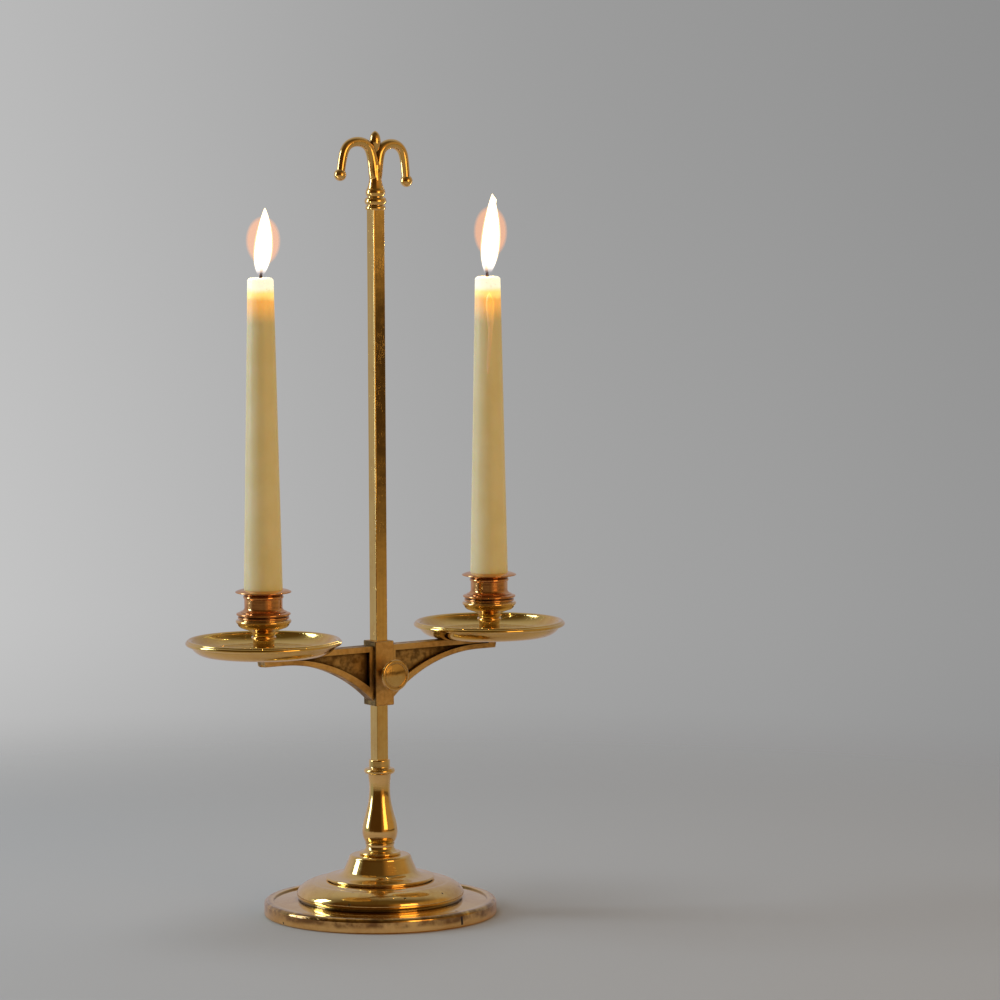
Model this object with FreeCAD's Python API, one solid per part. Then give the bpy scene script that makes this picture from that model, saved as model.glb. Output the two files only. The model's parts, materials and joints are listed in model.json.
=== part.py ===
import FreeCAD, Part
import math
import os

# A two-light candle lamp of cast and turned brass. A bracket with two arms
# slides on a square rod and is held by a thumbscrew.
# Millimetres. Z runs up the rod's axis, the arms lie along X, the thumbscrew
# faces -Y, and the origin is at the middle of the base's underside.

# A quarter round's arc stands off its chord by this share of its radius
quarter_bulge = 0.293

# Cutting tools run this far past the faces they open
cut_past = 1.0

# Base casting
base_radius = 68.0
base_edge_height = 8.7
base_edge_round = 2.2
base_foot_bevel = 0.8
base_wall = 3.2
rim_width = 5.4
rim_step = 1.0
rim_inner_round = 0.35
ring_rise = 1.6
dome_radius = 48.9
dome_height = 12.7
dome_lip = 0.6
dome_widest_height = 1.9
dome_shoulder_radius = 46.4
dome_shoulder_drop = 4.2
dome_crown_radius = 39.0
dome_crown_drop = 1.1
dome_crown_bow = 0.35
dome_inside_bow = 1.6
undercut_height = 0.8
undercut_depth = 1.6
base_boss_radius = 10.0
base_boss_depth = 6.0

# Bell cap on the base, its heights measured from the dome's top
bell_radius = 32.0
bell_lip = 1.4
bell_height = 14.6
bell_flare_low_radius = 26.9
bell_flare_low_height = 2.45
bell_flare_high_radius = 23.7
bell_flare_high_height = 3.4
bell_waist_radius = 21.4
bell_waist_height = 5.2
bell_top_radius = 18.2
bell_top_round = 2.0
bell_wall = 2.4
bell_inside_bow = 1.2
bell_seat_radius = 29.6
bell_seat_gap = 0.5

# Baluster, its levels measured from its foot
baluster_height = 56.0
baluster_foot_radius = 12.25
baluster_foot_height = 1.8
baluster_foot_step = 0.45
baluster_foot_cove = 0.9
baluster_waist_radius = 8.2
baluster_waist_level = 5.4
baluster_bead_radius = 8.65
baluster_bead_height = 0.9
baluster_bead_level = 6.4
baluster_belly_radius = 10.3
baluster_belly_level = 14.9
baluster_slope_radius = 8.5
baluster_slope_level = 23.5
baluster_throat_radius = 6.75
baluster_throat_level = 31.0
baluster_neck_radius = 6.1
baluster_neck_level = 38.0
baluster_flare_radius = 6.9
baluster_ring_radius = 9.1
baluster_ring_level = 49.3
baluster_ring_thickness = 3.2
baluster_collar_radius = 6.2
baluster_collar_fillet = 0.9
baluster_collar_round = 0.8

# Rod
rod_width = 7.6
rod_length = 320.3
rod_corner_round = 0.5
tenon_radius = 2.5
tenon_clearance = 0.05
tenon_past_nut = 1.4
top_tenon_radius = 2.2
top_tenon_length = 15.0

# Washer and nut under the base
washer_radius = 7.0
washer_thickness = 1.2
nut_across_flats = 8.0
nut_height = 4.0

# Finial: turned collar and cast double hook
collar_height = 7.9
collar_low_radius = 5.95
collar_low_height = 2.6
collar_low_bulge = 0.5
collar_quirk_radius = 5.05
collar_quirk_height = 0.5
collar_ring_radius = 6.4
collar_ring_bulge = 0.9
collar_top_radius = 4.75
collar_top_height = 0.6
finial_height = 37.8
finial_bead_radius = 5.75
finial_bead_height = 4.6
finial_bead_bulge = 0.8
finial_taper_radius = 4.2
finial_taper_height = 6.9
finial_stem_radius = 3.45
finial_stem_height = 16.0
finial_bore_past_tenon = 0.5
hook_split_height = 24.2
hook_web_radius = 2.6
hook_web_height = 20.5
hook_foot_height = 10.0
hook_foot_offset = 0.25
hook_root_offset = 2.2
hook_arch_height = 9.0
hook_reach_left = 22.2
hook_reach_right = 20.0
hook_splay_left = 1.9
hook_splay_right = 1.5
hook_crest_left = 31.6
hook_crest_right = 30.2
hook_ball_left = 12.7
hook_ball_right = 8.7
hook_root_radius = 3.3
hook_leg_radius = 2.4
hook_ball_radius = 3.6
hook_section_count = 13
bud_height = 14.5
bud_root_radius = 1.45
bud_root_height = 2.2
bud_radius = 3.2
bud_widest_height = 9.3
bud_tip_radius = 1.6
bud_tip_height = 13.5

# Bracket sleeve
sleeve_width = 12.9
sleeve_height = 37.7
sleeve_above_collar = 32.2
sleeve_bevel = 0.4
sleeve_clearance = 0.08

# Arms: cast brackets of I section
arm_width = 8.5
arm_web = 3.0
arm_below_sleeve_top = 2.6
arm_root_height = 32.2
arm_tip_height = 7.0
arm_tip_slant = 1.4
arm_past_socket = 3.0
arm_flat_length = 13.5
arm_top_flange = 3.4
arm_low_flange = 3.0
arm_side_flange = 2.6
arm_edge_round = 0.6
recess_root_height = 20.5
recess_tip_gap = 3.4

# Thumbscrew and its pad
screw_radius = 2.5
screw_clearance = 0.05
screw_neck_radius = 3.4
screw_neck_gap = 0.9
screw_reach = 11.9
screw_head_radius = 9.2
screw_head_rim = 2.0
screw_head_cove_height = 2.6
screw_head_cove = 1.0
screw_tip_bevel = 0.3
screw_groove_radius = 7.1
screw_groove_width = 0.9
screw_groove_depth = 0.35
screw_face_drop = 0.2
screw_face_crown = 0.3
pad_thickness = 1.3

# Drip pans
socket_spacing = 156.8
pan_radius = 45.0
pan_height = 9.1
pan_floor_radius = 34.0
pan_wall = 1.8
pan_wall_bow = 1.4
pan_inside_bow = 1.5
pan_rim_width = 3.4
pan_rim_height = 3.4
pan_rim_round = 1.0
pan_rim_bulge = 0.9
pan_rim_foot = 0.4
pan_rim_lean = 0.6
pan_rim_drop = 0.2
pan_rim_top_bow = 0.35

# Socket stems, with the screw that holds each to its arm
spigot_radius = 3.2
spigot_clearance = 0.05
stem_foot_radius = 7.7
stem_foot_edge_height = 1.4
stem_foot_bulge = 0.5
stem_foot_height = 3.0
stem_foot_cove = 0.4
stem_radius = 6.2
stem_bead_radius = 7.2
stem_bead_height = 2.4
stem_bead_level = 7.9
stem_height = 19.0
stem_cup_height = 6.8
stem_cone_radius = 8.2
stem_cone_height = 4.3
stem_cone_cove = 0.35
stem_bowl_radius = 12.9
stem_bowl_height = 2.7
stem_bowl_bulge = 0.4
stem_ring_radius = 16.0
stem_ring_height = 2.0
stem_ring_bulge = 0.85
stem_land_radius = 13.8
stem_land_height = 0.5
stem_socket_radius = 6.5
stem_socket_depth = 3.6
socket_screw_radius = 1.5
socket_screw_head_radius = 2.8
socket_screw_head_height = 1.7
socket_screw_slot = 0.7
socket_screw_grip = 9.0
socket_screw_gap = 0.5

# Nozzles, their levels measured from the stem's top
nozzle_height = 16.9
nozzle_radius = 11.0
nozzle_bore_radius = 9.4
nozzle_bore_depth = 15.2
nozzle_ring_radius = 14.8
nozzle_ring_height = 1.4
nozzle_quirk_radius = 13.6
nozzle_quirk_height = 0.7
nozzle_flare_radius = 15.6
nozzle_flare_lip = 1.2
nozzle_flare_bulge = 0.4
nozzle_step_radius = 13.3
nozzle_step_level = 3.9
nozzle_step_height = 0.35
nozzle_flare_height = 6.3
nozzle_flare_cove = 0.45
nozzle_bead_radius = 11.6
nozzle_bead_height = 2.0
nozzle_bead_level = 11.5
nozzle_rim_radius = 16.1
nozzle_rim_lip = 0.8
nozzle_rim_fall = 1.1
nozzle_rim_cove = 0.6
nozzle_rim_crown = 0.25
nozzle_mouth_radius = 11.5
nozzle_mouth_depth = 2.6
nozzle_spigot_length = 3.4
nozzle_spigot_clearance = 0.06

# Candles and wicks
candle_radius = 11.1
candle_top_radius = 7.5
candle_foot_clearance = 0.08
candle_left_height = 178.2
candle_right_height = 175.2
candle_top_round = 1.6
candle_top_bulge = 0.5
candle_well_radius = 5.0
candle_well_depth = 1.2
candle_well_dip = 0.3
wick_radius = 0.9
wick_tip_radius = 0.68
wick_height = 6.5
wick_depth = 12.0
wick_bend = 1.6
wick_straight = 0.3
wick_straight_lean = 0.15
wick_section_count = 4

# Heights that follow from the stack of pieces
sunk_ring_z = base_edge_height - rim_step
dome_top_z = sunk_ring_z + dome_height
bell_top_z = dome_top_z + bell_height
rod_foot_z = bell_top_z + baluster_height
rod_top_z = rod_foot_z + rod_length
finial_z = rod_top_z + collar_height
boss_z = dome_top_z - base_boss_depth
nut_z = boss_z - washer_thickness - nut_height
sleeve_z = rod_foot_z + sleeve_above_collar
arm_top_z = sleeve_z + sleeve_height - arm_below_sleeve_top
pan_floor_z = arm_top_z + pan_wall
stem_top_z = pan_floor_z + stem_height
nozzle_z = stem_top_z
nozzle_top_z = nozzle_z + nozzle_height
candle_foot_z = nozzle_top_z - nozzle_bore_depth

# Half widths and places that several pieces share
rod_half = rod_width / 2
sleeve_half = sleeve_width / 2
socket_x = socket_spacing / 2
screw_z = sleeve_z + sleeve_height / 2
tenon_bore = tenon_radius + tenon_clearance
top_tenon_bore = top_tenon_radius + tenon_clearance


class Outline:
    """A closed outline in the plane of radius and height, drawn edge by edge."""

    def __init__(self, radius, height):
        self.start = FreeCAD.Vector(radius, 0, height)
        self.here = self.start
        self.edges = []

    def add(self, edge, there):
        self.edges.append(edge)
        self.here = there

    def line(self, radius, height):
        there = FreeCAD.Vector(radius, 0, height)
        self.add(Part.makeLine(self.here, there), there)

    def bow(self, radius, height, rise):
        """An arc whose crown stands off its chord by rise, to the right of travel."""
        there = FreeCAD.Vector(radius, 0, height)
        chord = there - self.here
        right = FreeCAD.Vector(chord.z, 0, -chord.x).normalize()
        crown = (self.here + there) * 0.5 + right * rise
        self.add(Part.Arc(self.here, crown, there).toShape(), there)

    def curve(self, *points):
        """One smooth curve on through the points."""
        through = [self.here]
        for radius, height in points:
            through.append(FreeCAD.Vector(radius, 0, height))
        spline = Part.BSplineCurve()
        spline.interpolate(through)
        self.add(spline.toShape(), through[-1])

    def face(self):
        self.line(self.start.x, self.start.z)
        return Part.Face(Part.Wire(self.edges))

    def turned(self):
        """The solid that the outline sweeps out round the Z axis."""
        return self.face().revolve(FreeCAD.Vector(0, 0, 0), FreeCAD.Vector(0, 0, 1), 360)


def rod_of(radius, low, high):
    """A plain cylinder on the Z axis."""
    return Part.makeCylinder(radius, high - low, FreeCAD.Vector(0, 0, low))


def moved(shape, x=0.0, y=0.0, z=0.0):
    there = shape.copy()
    there.translate(FreeCAD.Vector(x, y, z))
    return there


# Base: rim, sunk ring and dome in one casting, hollow below
def base_casting():
    rim_inner = base_radius - rim_width
    ring_inner_z = sunk_ring_z + ring_rise
    lip_z = ring_inner_z + undercut_height
    inside_radius = dome_radius - base_wall
    body = Outline(0, dome_top_z)
    body.line(bell_seat_radius, dome_top_z)
    body.bow(dome_crown_radius, dome_top_z - dome_crown_drop, -dome_crown_bow)
    body.curve(
        (dome_shoulder_radius, dome_top_z - dome_shoulder_drop),
        (dome_radius, lip_z + dome_widest_height),
        (dome_radius - dome_lip, lip_z),
    )
    body.line(dome_radius - undercut_depth, lip_z)
    body.line(dome_radius - undercut_depth, ring_inner_z)
    body.line(rim_inner, sunk_ring_z)
    body.line(rim_inner, base_edge_height - rim_inner_round)
    body.bow(rim_inner + rim_inner_round, base_edge_height, -quarter_bulge * rim_inner_round)
    body.line(base_radius - base_edge_round, base_edge_height)
    body.bow(base_radius, base_edge_height - base_edge_round, -quarter_bulge * base_edge_round)
    body.line(base_radius, base_foot_bevel)
    body.line(base_radius - base_foot_bevel, 0)
    body.line(base_radius - base_wall, 0)
    body.line(base_radius - base_wall, sunk_ring_z - base_wall)
    body.line(inside_radius, sunk_ring_z - base_wall)
    body.line(inside_radius, lip_z)
    body.bow(dome_crown_radius - base_wall, dome_top_z - base_wall, dome_inside_bow)
    body.line(base_boss_radius, dome_top_z - base_wall)
    body.line(base_boss_radius, boss_z)
    body.line(0, boss_z)
    return body.turned().cut(rod_of(tenon_bore, boss_z - cut_past, dome_top_z + cut_past))


# Bell cap, seated on the dome with a shadow gap under its lip
def bell_cap():
    z = dome_top_z
    lip_z = z + bell_seat_gap
    waist_z = z + bell_waist_height
    inner_top_z = bell_top_z - bell_wall
    lip_radius = bell_radius - bell_lip / 2
    bell = Outline(0, bell_top_z)
    bell.line(bell_top_radius - bell_top_round, bell_top_z)
    bell.bow(bell_top_radius, bell_top_z - bell_top_round, -quarter_bulge * bell_top_round)
    bell.line(bell_waist_radius, waist_z)
    bell.curve(
        (bell_flare_high_radius, z + bell_flare_high_height),
        (bell_flare_low_radius, z + bell_flare_low_height),
        (lip_radius, lip_z + bell_lip),
    )
    bell.bow(lip_radius, lip_z, -bell_lip / 2)
    bell.line(bell_seat_radius, lip_z)
    bell.line(bell_seat_radius, z)
    bell.line(bell_seat_radius - bell_wall, z)
    bell.bow(bell_waist_radius - bell_wall, waist_z, -bell_inside_bow)
    bell.line(bell_top_radius - bell_wall, inner_top_z)
    bell.line(0, inner_top_z)
    return bell.turned().cut(rod_of(tenon_bore, inner_top_z - cut_past, bell_top_z + cut_past))


# Baluster, bored for the rod's long tenon
def baluster():
    z = bell_top_z
    foot_inner = baluster_foot_radius - baluster_foot_height / 2
    bead_low = z + baluster_bead_level - baluster_bead_height / 2
    bead_high = z + baluster_bead_level + baluster_bead_height / 2
    ring_half = baluster_ring_thickness / 2
    ring_low = z + baluster_ring_level - ring_half
    ring_high = z + baluster_ring_level + ring_half
    fillet = baluster_collar_fillet
    round_edge = baluster_collar_round
    turn = Outline(0, z)
    turn.line(foot_inner, z)
    turn.bow(foot_inner, z + baluster_foot_height, baluster_foot_height / 2)
    turn.line(foot_inner - baluster_foot_step, z + baluster_foot_height)
    turn.bow(baluster_waist_radius, z + baluster_waist_level, -baluster_foot_cove)
    turn.line(baluster_waist_radius, bead_low)
    turn.bow(baluster_waist_radius, bead_high, baluster_bead_radius - baluster_waist_radius)
    turn.curve(
        (baluster_belly_radius, z + baluster_belly_level),
        (baluster_slope_radius, z + baluster_slope_level),
        (baluster_throat_radius, z + baluster_throat_level),
        (baluster_neck_radius, z + baluster_neck_level),
        (baluster_flare_radius, ring_low),
    )
    turn.line(baluster_ring_radius - ring_half, ring_low)
    turn.bow(baluster_ring_radius - ring_half, ring_high, ring_half)
    turn.line(baluster_collar_radius + fillet, ring_high)
    turn.bow(baluster_collar_radius, ring_high + fillet, -quarter_bulge * fillet)
    turn.line(baluster_collar_radius, rod_foot_z - round_edge)
    turn.bow(baluster_collar_radius - round_edge, rod_foot_z, quarter_bulge * round_edge)
    turn.line(0, rod_foot_z)
    return turn.turned().cut(rod_of(tenon_bore, z - cut_past, rod_foot_z + cut_past))


# Square rod with a round tenon at each end
def square_rod():
    bar = Part.makeBox(rod_width, rod_width, rod_length, FreeCAD.Vector(-rod_half, -rod_half, rod_foot_z))
    long_edges = []
    for edge in bar.Edges:
        if edge.BoundBox.ZLength > rod_width:
            long_edges.append(edge)
    bar = bar.makeFillet(rod_corner_round, long_edges)
    low_tenon = rod_of(tenon_radius, nut_z - tenon_past_nut, rod_foot_z)
    high_tenon = rod_of(top_tenon_radius, rod_top_z, rod_top_z + top_tenon_length)
    return bar.fuse([low_tenon, high_tenon])


def base_washer():
    disc = rod_of(washer_radius, boss_z - washer_thickness, boss_z)
    return disc.cut(rod_of(tenon_bore, nut_z, boss_z + cut_past))


def base_nut():
    corner_radius = nut_across_flats / 2 / math.cos(math.radians(30))
    corners = []
    for k in range(7):
        turn = math.radians(60 * k)
        x = corner_radius * math.cos(turn)
        y = corner_radius * math.sin(turn)
        corners.append(FreeCAD.Vector(x, y, nut_z))
    prism = Part.Face(Part.makePolygon(corners)).extrude(FreeCAD.Vector(0, 0, nut_height))
    return prism.cut(rod_of(tenon_bore, nut_z - cut_past, nut_z + nut_height + cut_past))


# Finial: a turned collar under a cast double hook with a bud between
def finial_collar():
    low_edge = collar_low_radius - collar_low_bulge
    low_top = rod_top_z + collar_low_height
    ring_edge = collar_ring_radius - collar_ring_bulge
    ring_low = low_top + collar_quirk_height
    ring_high = finial_z - collar_top_height
    ring = Outline(0, rod_top_z)
    ring.line(low_edge, rod_top_z)
    ring.bow(low_edge, low_top, collar_low_bulge)
    ring.line(collar_quirk_radius, low_top)
    ring.line(collar_quirk_radius, ring_low)
    ring.line(ring_edge, ring_low)
    ring.bow(ring_edge, ring_high, collar_ring_bulge)
    ring.line(collar_top_radius, ring_high)
    ring.line(collar_top_radius, finial_z)
    ring.line(0, finial_z)
    return ring.turned().cut(rod_of(top_tenon_bore, rod_top_z - cut_past, finial_z + cut_past))


def hook_path(side, reach, splay, crest, ball):
    """Centre line of one hook: up out of the stem, over the arch and down to the ball."""
    arch_half = (reach - hook_root_offset) / 2
    arch_middle = hook_root_offset + arch_half
    spring_z = finial_z + crest - hook_arch_height
    points = [FreeCAD.Vector(side * hook_foot_offset, 0, finial_z + hook_foot_height)]
    for degrees in (180, 135, 90, 45, 0):
        turn = math.radians(degrees)
        x = arch_middle + arch_half * math.cos(turn)
        points.append(FreeCAD.Vector(side * x, 0, spring_z + hook_arch_height * math.sin(turn)))
    points.append(FreeCAD.Vector(side * (reach + splay), 0, finial_z + ball))
    path = Part.BSplineCurve()
    path.interpolate(points)
    return path


def tapered_bar(path, first_radius, last_radius, sections):
    """A round bar along a curve in the plane of X and Z, its radius changing evenly along it."""
    rings = []
    for k in range(sections):
        share = k / (sections - 1)
        along = path.FirstParameter + share * (path.LastParameter - path.FirstParameter)
        heading = path.tangent(along)[0]
        ring = Part.makeCircle(first_radius + share * (last_radius - first_radius))
        tilt = math.degrees(math.atan2(heading.x, heading.z))
        facing = FreeCAD.Rotation(FreeCAD.Vector(0, 1, 0), tilt)
        ring.Placement = FreeCAD.Placement(path.value(along), facing)
        rings.append(Part.Wire(ring))
    return Part.makeLoft(rings, True)


def finial_hooks():
    z = finial_z
    stem = Outline(0, z)
    stem.line(finial_bead_radius - finial_bead_bulge, z)
    stem.bow(finial_bead_radius - finial_bead_bulge, z + finial_bead_height, finial_bead_bulge)
    stem.curve(
        (finial_taper_radius, z + finial_taper_height),
        (finial_stem_radius, z + finial_stem_height),
    )
    stem.curve((hook_web_radius, z + hook_web_height), (0, z + hook_split_height))
    casting = stem.turned()
    hooks = (
        (-1, hook_reach_left, hook_splay_left, hook_crest_left, hook_ball_left),
        (1, hook_reach_right, hook_splay_right, hook_crest_right, hook_ball_right),
    )
    for hook in hooks:
        path = hook_path(*hook)
        bar = tapered_bar(path, hook_root_radius, hook_leg_radius, hook_section_count)
        tip = path.value(path.LastParameter)
        casting = casting.fuse([bar, Part.makeSphere(hook_ball_radius, tip)])
    bud_z = z + finial_height - bud_height
    bud = Outline(0, bud_z)
    bud.curve(
        (bud_root_radius, bud_z + bud_root_height),
        (bud_radius, bud_z + bud_widest_height),
        (bud_tip_radius, bud_z + bud_tip_height),
        (0, bud_z + bud_height),
    )
    casting = casting.fuse(bud.turned())
    bore_top_z = rod_top_z + top_tenon_length + finial_bore_past_tenon
    return casting.cut(rod_of(top_tenon_bore, z - cut_past, bore_top_z))


# Bracket sleeve, bored square for the rod and drilled for the thumbscrew
def bracket_sleeve():
    corner = FreeCAD.Vector(-sleeve_half, -sleeve_half, sleeve_z)
    block = Part.makeBox(sleeve_width, sleeve_width, sleeve_height, corner)
    block = block.makeChamfer(sleeve_bevel, block.Edges)
    bore = rod_width + 2 * sleeve_clearance
    low_corner = FreeCAD.Vector(-bore / 2, -bore / 2, sleeve_z - cut_past)
    hollow = Part.makeBox(bore, bore, sleeve_height + 2 * cut_past, low_corner)
    hole = outward(rod_of(screw_radius + screw_clearance, 0, sleeve_width))
    return block.cut([hollow, hole])


def outward(shape):
    """Lays a piece made on the Z axis along the thumbscrew's axis, which points to -Y."""
    laid = shape.copy()
    laid.rotate(FreeCAD.Vector(0, 0, 0), FreeCAD.Vector(1, 0, 0), 90)
    return moved(laid, z=screw_z)


# Arms: cast brackets with a flange all round and a sunk panel on both faces
def swept_edge(start_x, end_x, high_z, drop):
    """The concave lower edge: level at start_x, it falls by drop along one arc to end_x."""
    run = start_x - end_x
    radius = (run * run + drop * drop) / (2 * drop)
    half = math.asin(run / radius) / 2
    start = FreeCAD.Vector(start_x, 0, high_z)
    middle = start - FreeCAD.Vector(radius * math.sin(half), 0, radius * (1 - math.cos(half)))
    end = FreeCAD.Vector(end_x, 0, high_z - drop)
    return Part.Arc(start, middle, end).toShape()


def panel_between(corners, sweep):
    """A face inside straight edges through the corners and a swept edge from last to first."""
    points = [FreeCAD.Vector(x, 0, z) for x, z in corners]
    edges = []
    for here, there in zip(points, points[1:]):
        edges.append(Part.makeLine(here, there))
    return Part.Face(Part.Wire(edges + [sweep]))


def thickened(face, low_y, high_y):
    return moved(face, y=low_y).extrude(FreeCAD.Vector(0, high_y - low_y, 0))


def arm(side):
    tip_x = socket_x + arm_past_socket
    under_z = arm_top_z - arm_tip_height
    bend_x = tip_x - arm_flat_length
    root_drop = arm_root_height - arm_tip_height
    half = arm_width / 2
    sweep = swept_edge(bend_x, sleeve_half, under_z, root_drop)
    corners = (
        (sleeve_half, under_z - root_drop),
        (sleeve_half, arm_top_z),
        (tip_x, arm_top_z),
        (tip_x - arm_tip_slant, under_z),
        (bend_x, under_z),
    )
    blank = thickened(panel_between(corners, sweep), -half, half)
    rounded = []
    for edge in blank.Edges:
        lies_on_a_face = edge.BoundBox.YLength < arm_edge_round
        if lies_on_a_face and edge.BoundBox.XMax > sleeve_half + arm_edge_round:
            rounded.append(edge)
    blank = blank.makeFillet(arm_edge_round, rounded)

    recess_x = sleeve_half + arm_side_flange
    recess_end_x = socket_x - recess_tip_gap
    recess_top_z = arm_top_z - arm_top_flange
    recess_low_z = under_z + arm_low_flange
    recess_drop = recess_root_height - (recess_top_z - recess_low_z)
    recess_sweep = swept_edge(bend_x, recess_x, recess_low_z, recess_drop)
    recess_corners = (
        (recess_x, recess_low_z - recess_drop),
        (recess_x, recess_top_z),
        (recess_end_x, recess_top_z),
        (recess_end_x, recess_low_z),
        (bend_x, recess_low_z),
    )
    panel = panel_between(recess_corners, recess_sweep)
    front = thickened(panel, -half - cut_past, -arm_web / 2)
    back = thickened(panel, arm_web / 2, half + cut_past)
    hole = rod_of(socket_screw_radius + spigot_clearance, under_z - cut_past, arm_top_z + cut_past)
    sunk_hole = moved(hole.fuse(countersink(under_z)), x=socket_x)
    casting = blank.cut([front, back, sunk_hole])
    if side < 0:
        casting = casting.mirror(FreeCAD.Vector(0, 0, 0), FreeCAD.Vector(1, 0, 0))
    return casting


def countersink(z):
    return Part.makeCone(
        socket_screw_head_radius, socket_screw_radius, socket_screw_head_height, FreeCAD.Vector(0, 0, z)
    )


# Thumbscrew: heights here are distances out from the rod's axis
def thumbscrew():
    tip = rod_half + pad_thickness
    neck = sleeve_half + screw_neck_gap
    front = sleeve_half + screw_reach
    rim_back = front - screw_head_rim
    rim_inner = screw_head_radius - screw_head_rim / 2
    groove_outer = screw_groove_radius + screw_groove_width / 2
    groove_inner = screw_groove_radius - screw_groove_width / 2
    screw = Outline(0, tip)
    screw.line(screw_radius - screw_tip_bevel, tip)
    screw.line(screw_radius, tip + screw_tip_bevel)
    screw.line(screw_radius, neck)
    screw.line(screw_neck_radius, neck)
    screw.line(screw_neck_radius, rim_back - screw_head_cove_height)
    screw.bow(rim_inner, rim_back, -screw_head_cove)
    screw.bow(rim_inner, front, screw_head_rim / 2)
    screw.line(groove_outer, front)
    screw.bow(groove_inner, front - screw_face_drop, -screw_groove_depth)
    screw.curve((groove_inner / 2, front + screw_face_crown / 2), (0, front + screw_face_crown))
    return outward(screw.turned())


def screw_pad():
    disc = rod_of(screw_radius - screw_clearance, rod_half, rod_half + pad_thickness)
    return outward(disc)


# Drip pan: flat floor, flared wall and a rolled rim
def drip_pan(x):
    rim_z = arm_top_z + pan_height
    rim_low = rim_z - pan_rim_height
    rim_inner = pan_radius - pan_rim_width
    rim_edge = pan_radius - pan_rim_round
    dish = Outline(0, arm_top_z)
    dish.line(pan_floor_radius, arm_top_z)
    dish.bow(rim_inner + pan_rim_foot, rim_low, pan_wall_bow)
    dish.line(rim_edge, rim_low)
    dish.bow(rim_edge, rim_z - pan_rim_round, pan_rim_bulge)
    dish.bow(rim_inner + pan_rim_round, rim_z - pan_rim_drop, pan_rim_top_bow)
    dish.bow(rim_inner - pan_rim_lean, rim_z - pan_rim_height / 2, pan_rim_top_bow)
    dish.bow(pan_floor_radius - pan_wall, pan_floor_z, -pan_inside_bow)
    dish.line(0, pan_floor_z)
    hole = rod_of(spigot_radius + spigot_clearance, arm_top_z - cut_past, pan_floor_z + cut_past)
    return moved(dish.turned().cut(hole), x=x)


# Socket stem: spigot through the pan, foot, neck with a bead, and a shallow cup with a ring
def socket_stem(x):
    z = pan_floor_z
    ring_high = stem_top_z - stem_land_height
    ring_low = ring_high - stem_ring_height
    ring_edge = stem_ring_radius - stem_ring_bulge
    bead_low = z + stem_bead_level - stem_bead_height / 2
    bead_high = z + stem_bead_level + stem_bead_height / 2
    turn = Outline(0, arm_top_z)
    turn.line(spigot_radius, arm_top_z)
    turn.line(spigot_radius, z)
    turn.line(stem_foot_radius - stem_foot_bulge, z)
    turn.bow(stem_foot_radius - stem_foot_bulge, z + stem_foot_edge_height, stem_foot_bulge)
    turn.bow(stem_radius, z + stem_foot_height, -stem_foot_cove)
    turn.line(stem_radius, bead_low)
    turn.bow(stem_radius, bead_high, stem_bead_radius - stem_radius)
    turn.line(stem_radius, ring_low - stem_cup_height)
    turn.bow(stem_cone_radius, ring_low - stem_cone_height, -stem_cone_cove)
    turn.line(stem_bowl_radius, ring_low - stem_bowl_height)
    turn.bow(ring_edge, ring_low, stem_bowl_bulge)
    turn.bow(ring_edge, ring_high, stem_ring_bulge)
    turn.line(stem_land_radius, ring_high)
    turn.line(stem_land_radius, stem_top_z)
    turn.line(stem_socket_radius, stem_top_z)
    turn.line(stem_socket_radius, stem_top_z - stem_socket_depth)
    turn.line(0, stem_top_z - stem_socket_depth)
    hole = rod_of(socket_screw_radius + spigot_clearance, arm_top_z - cut_past, z + socket_screw_grip)
    return moved(turn.turned().cut(hole), x=x)


def socket_screw(x):
    under_z = arm_top_z - arm_tip_height
    shank_top_z = pan_floor_z + socket_screw_grip - socket_screw_gap
    shank = rod_of(socket_screw_radius, under_z + socket_screw_head_height, shank_top_z)
    slot = Part.makeBox(
        4 * socket_screw_head_radius,
        socket_screw_slot,
        socket_screw_slot,
        FreeCAD.Vector(-2 * socket_screw_head_radius, -socket_screw_slot / 2, under_z),
    )
    return moved(countersink(under_z).fuse(shank).cut(slot), x=x)


# Nozzle: base ring, flare, cup, bead and a rim that falls outward, with a spigot below
def candle_nozzle(x):
    z = nozzle_z
    top = nozzle_top_z
    spigot = stem_socket_radius - nozzle_spigot_clearance
    ring_high = z + nozzle_ring_height
    ring_edge = nozzle_ring_radius - nozzle_ring_height / 2
    flare_low = ring_high + nozzle_quirk_height
    flare_high = flare_low + nozzle_flare_lip
    flare_edge = nozzle_flare_radius - nozzle_flare_bulge
    step_z = z + nozzle_step_level
    bead_low = z + nozzle_bead_level
    bead_high = bead_low + nozzle_bead_height
    rim_high = top - nozzle_rim_fall
    rim_edge = nozzle_rim_radius - nozzle_rim_lip / 2
    turn = Outline(0, z - nozzle_spigot_length)
    turn.line(spigot, z - nozzle_spigot_length)
    turn.line(spigot, z)
    turn.line(ring_edge, z)
    turn.bow(ring_edge, ring_high, nozzle_ring_height / 2)
    turn.line(nozzle_quirk_radius, ring_high)
    turn.line(nozzle_quirk_radius, flare_low)
    turn.line(flare_edge, flare_low)
    turn.bow(flare_edge, flare_high, nozzle_flare_bulge)
    turn.line(nozzle_step_radius, step_z)
    turn.line(nozzle_step_radius, step_z + nozzle_step_height)
    turn.bow(nozzle_radius, z + nozzle_flare_height, -nozzle_flare_cove)
    turn.line(nozzle_radius, bead_low)
    turn.bow(nozzle_radius, bead_high, nozzle_bead_radius - nozzle_radius)
    turn.bow(rim_edge, rim_high - nozzle_rim_lip, -nozzle_rim_cove)
    turn.bow(rim_edge, rim_high, nozzle_rim_lip / 2)
    turn.bow(nozzle_mouth_radius, top, nozzle_rim_crown)
    turn.line(nozzle_bore_radius, top - nozzle_mouth_depth)
    turn.line(nozzle_bore_radius, candle_foot_z)
    turn.line(0, candle_foot_z)
    return moved(turn.turned(), x=x)


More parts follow.
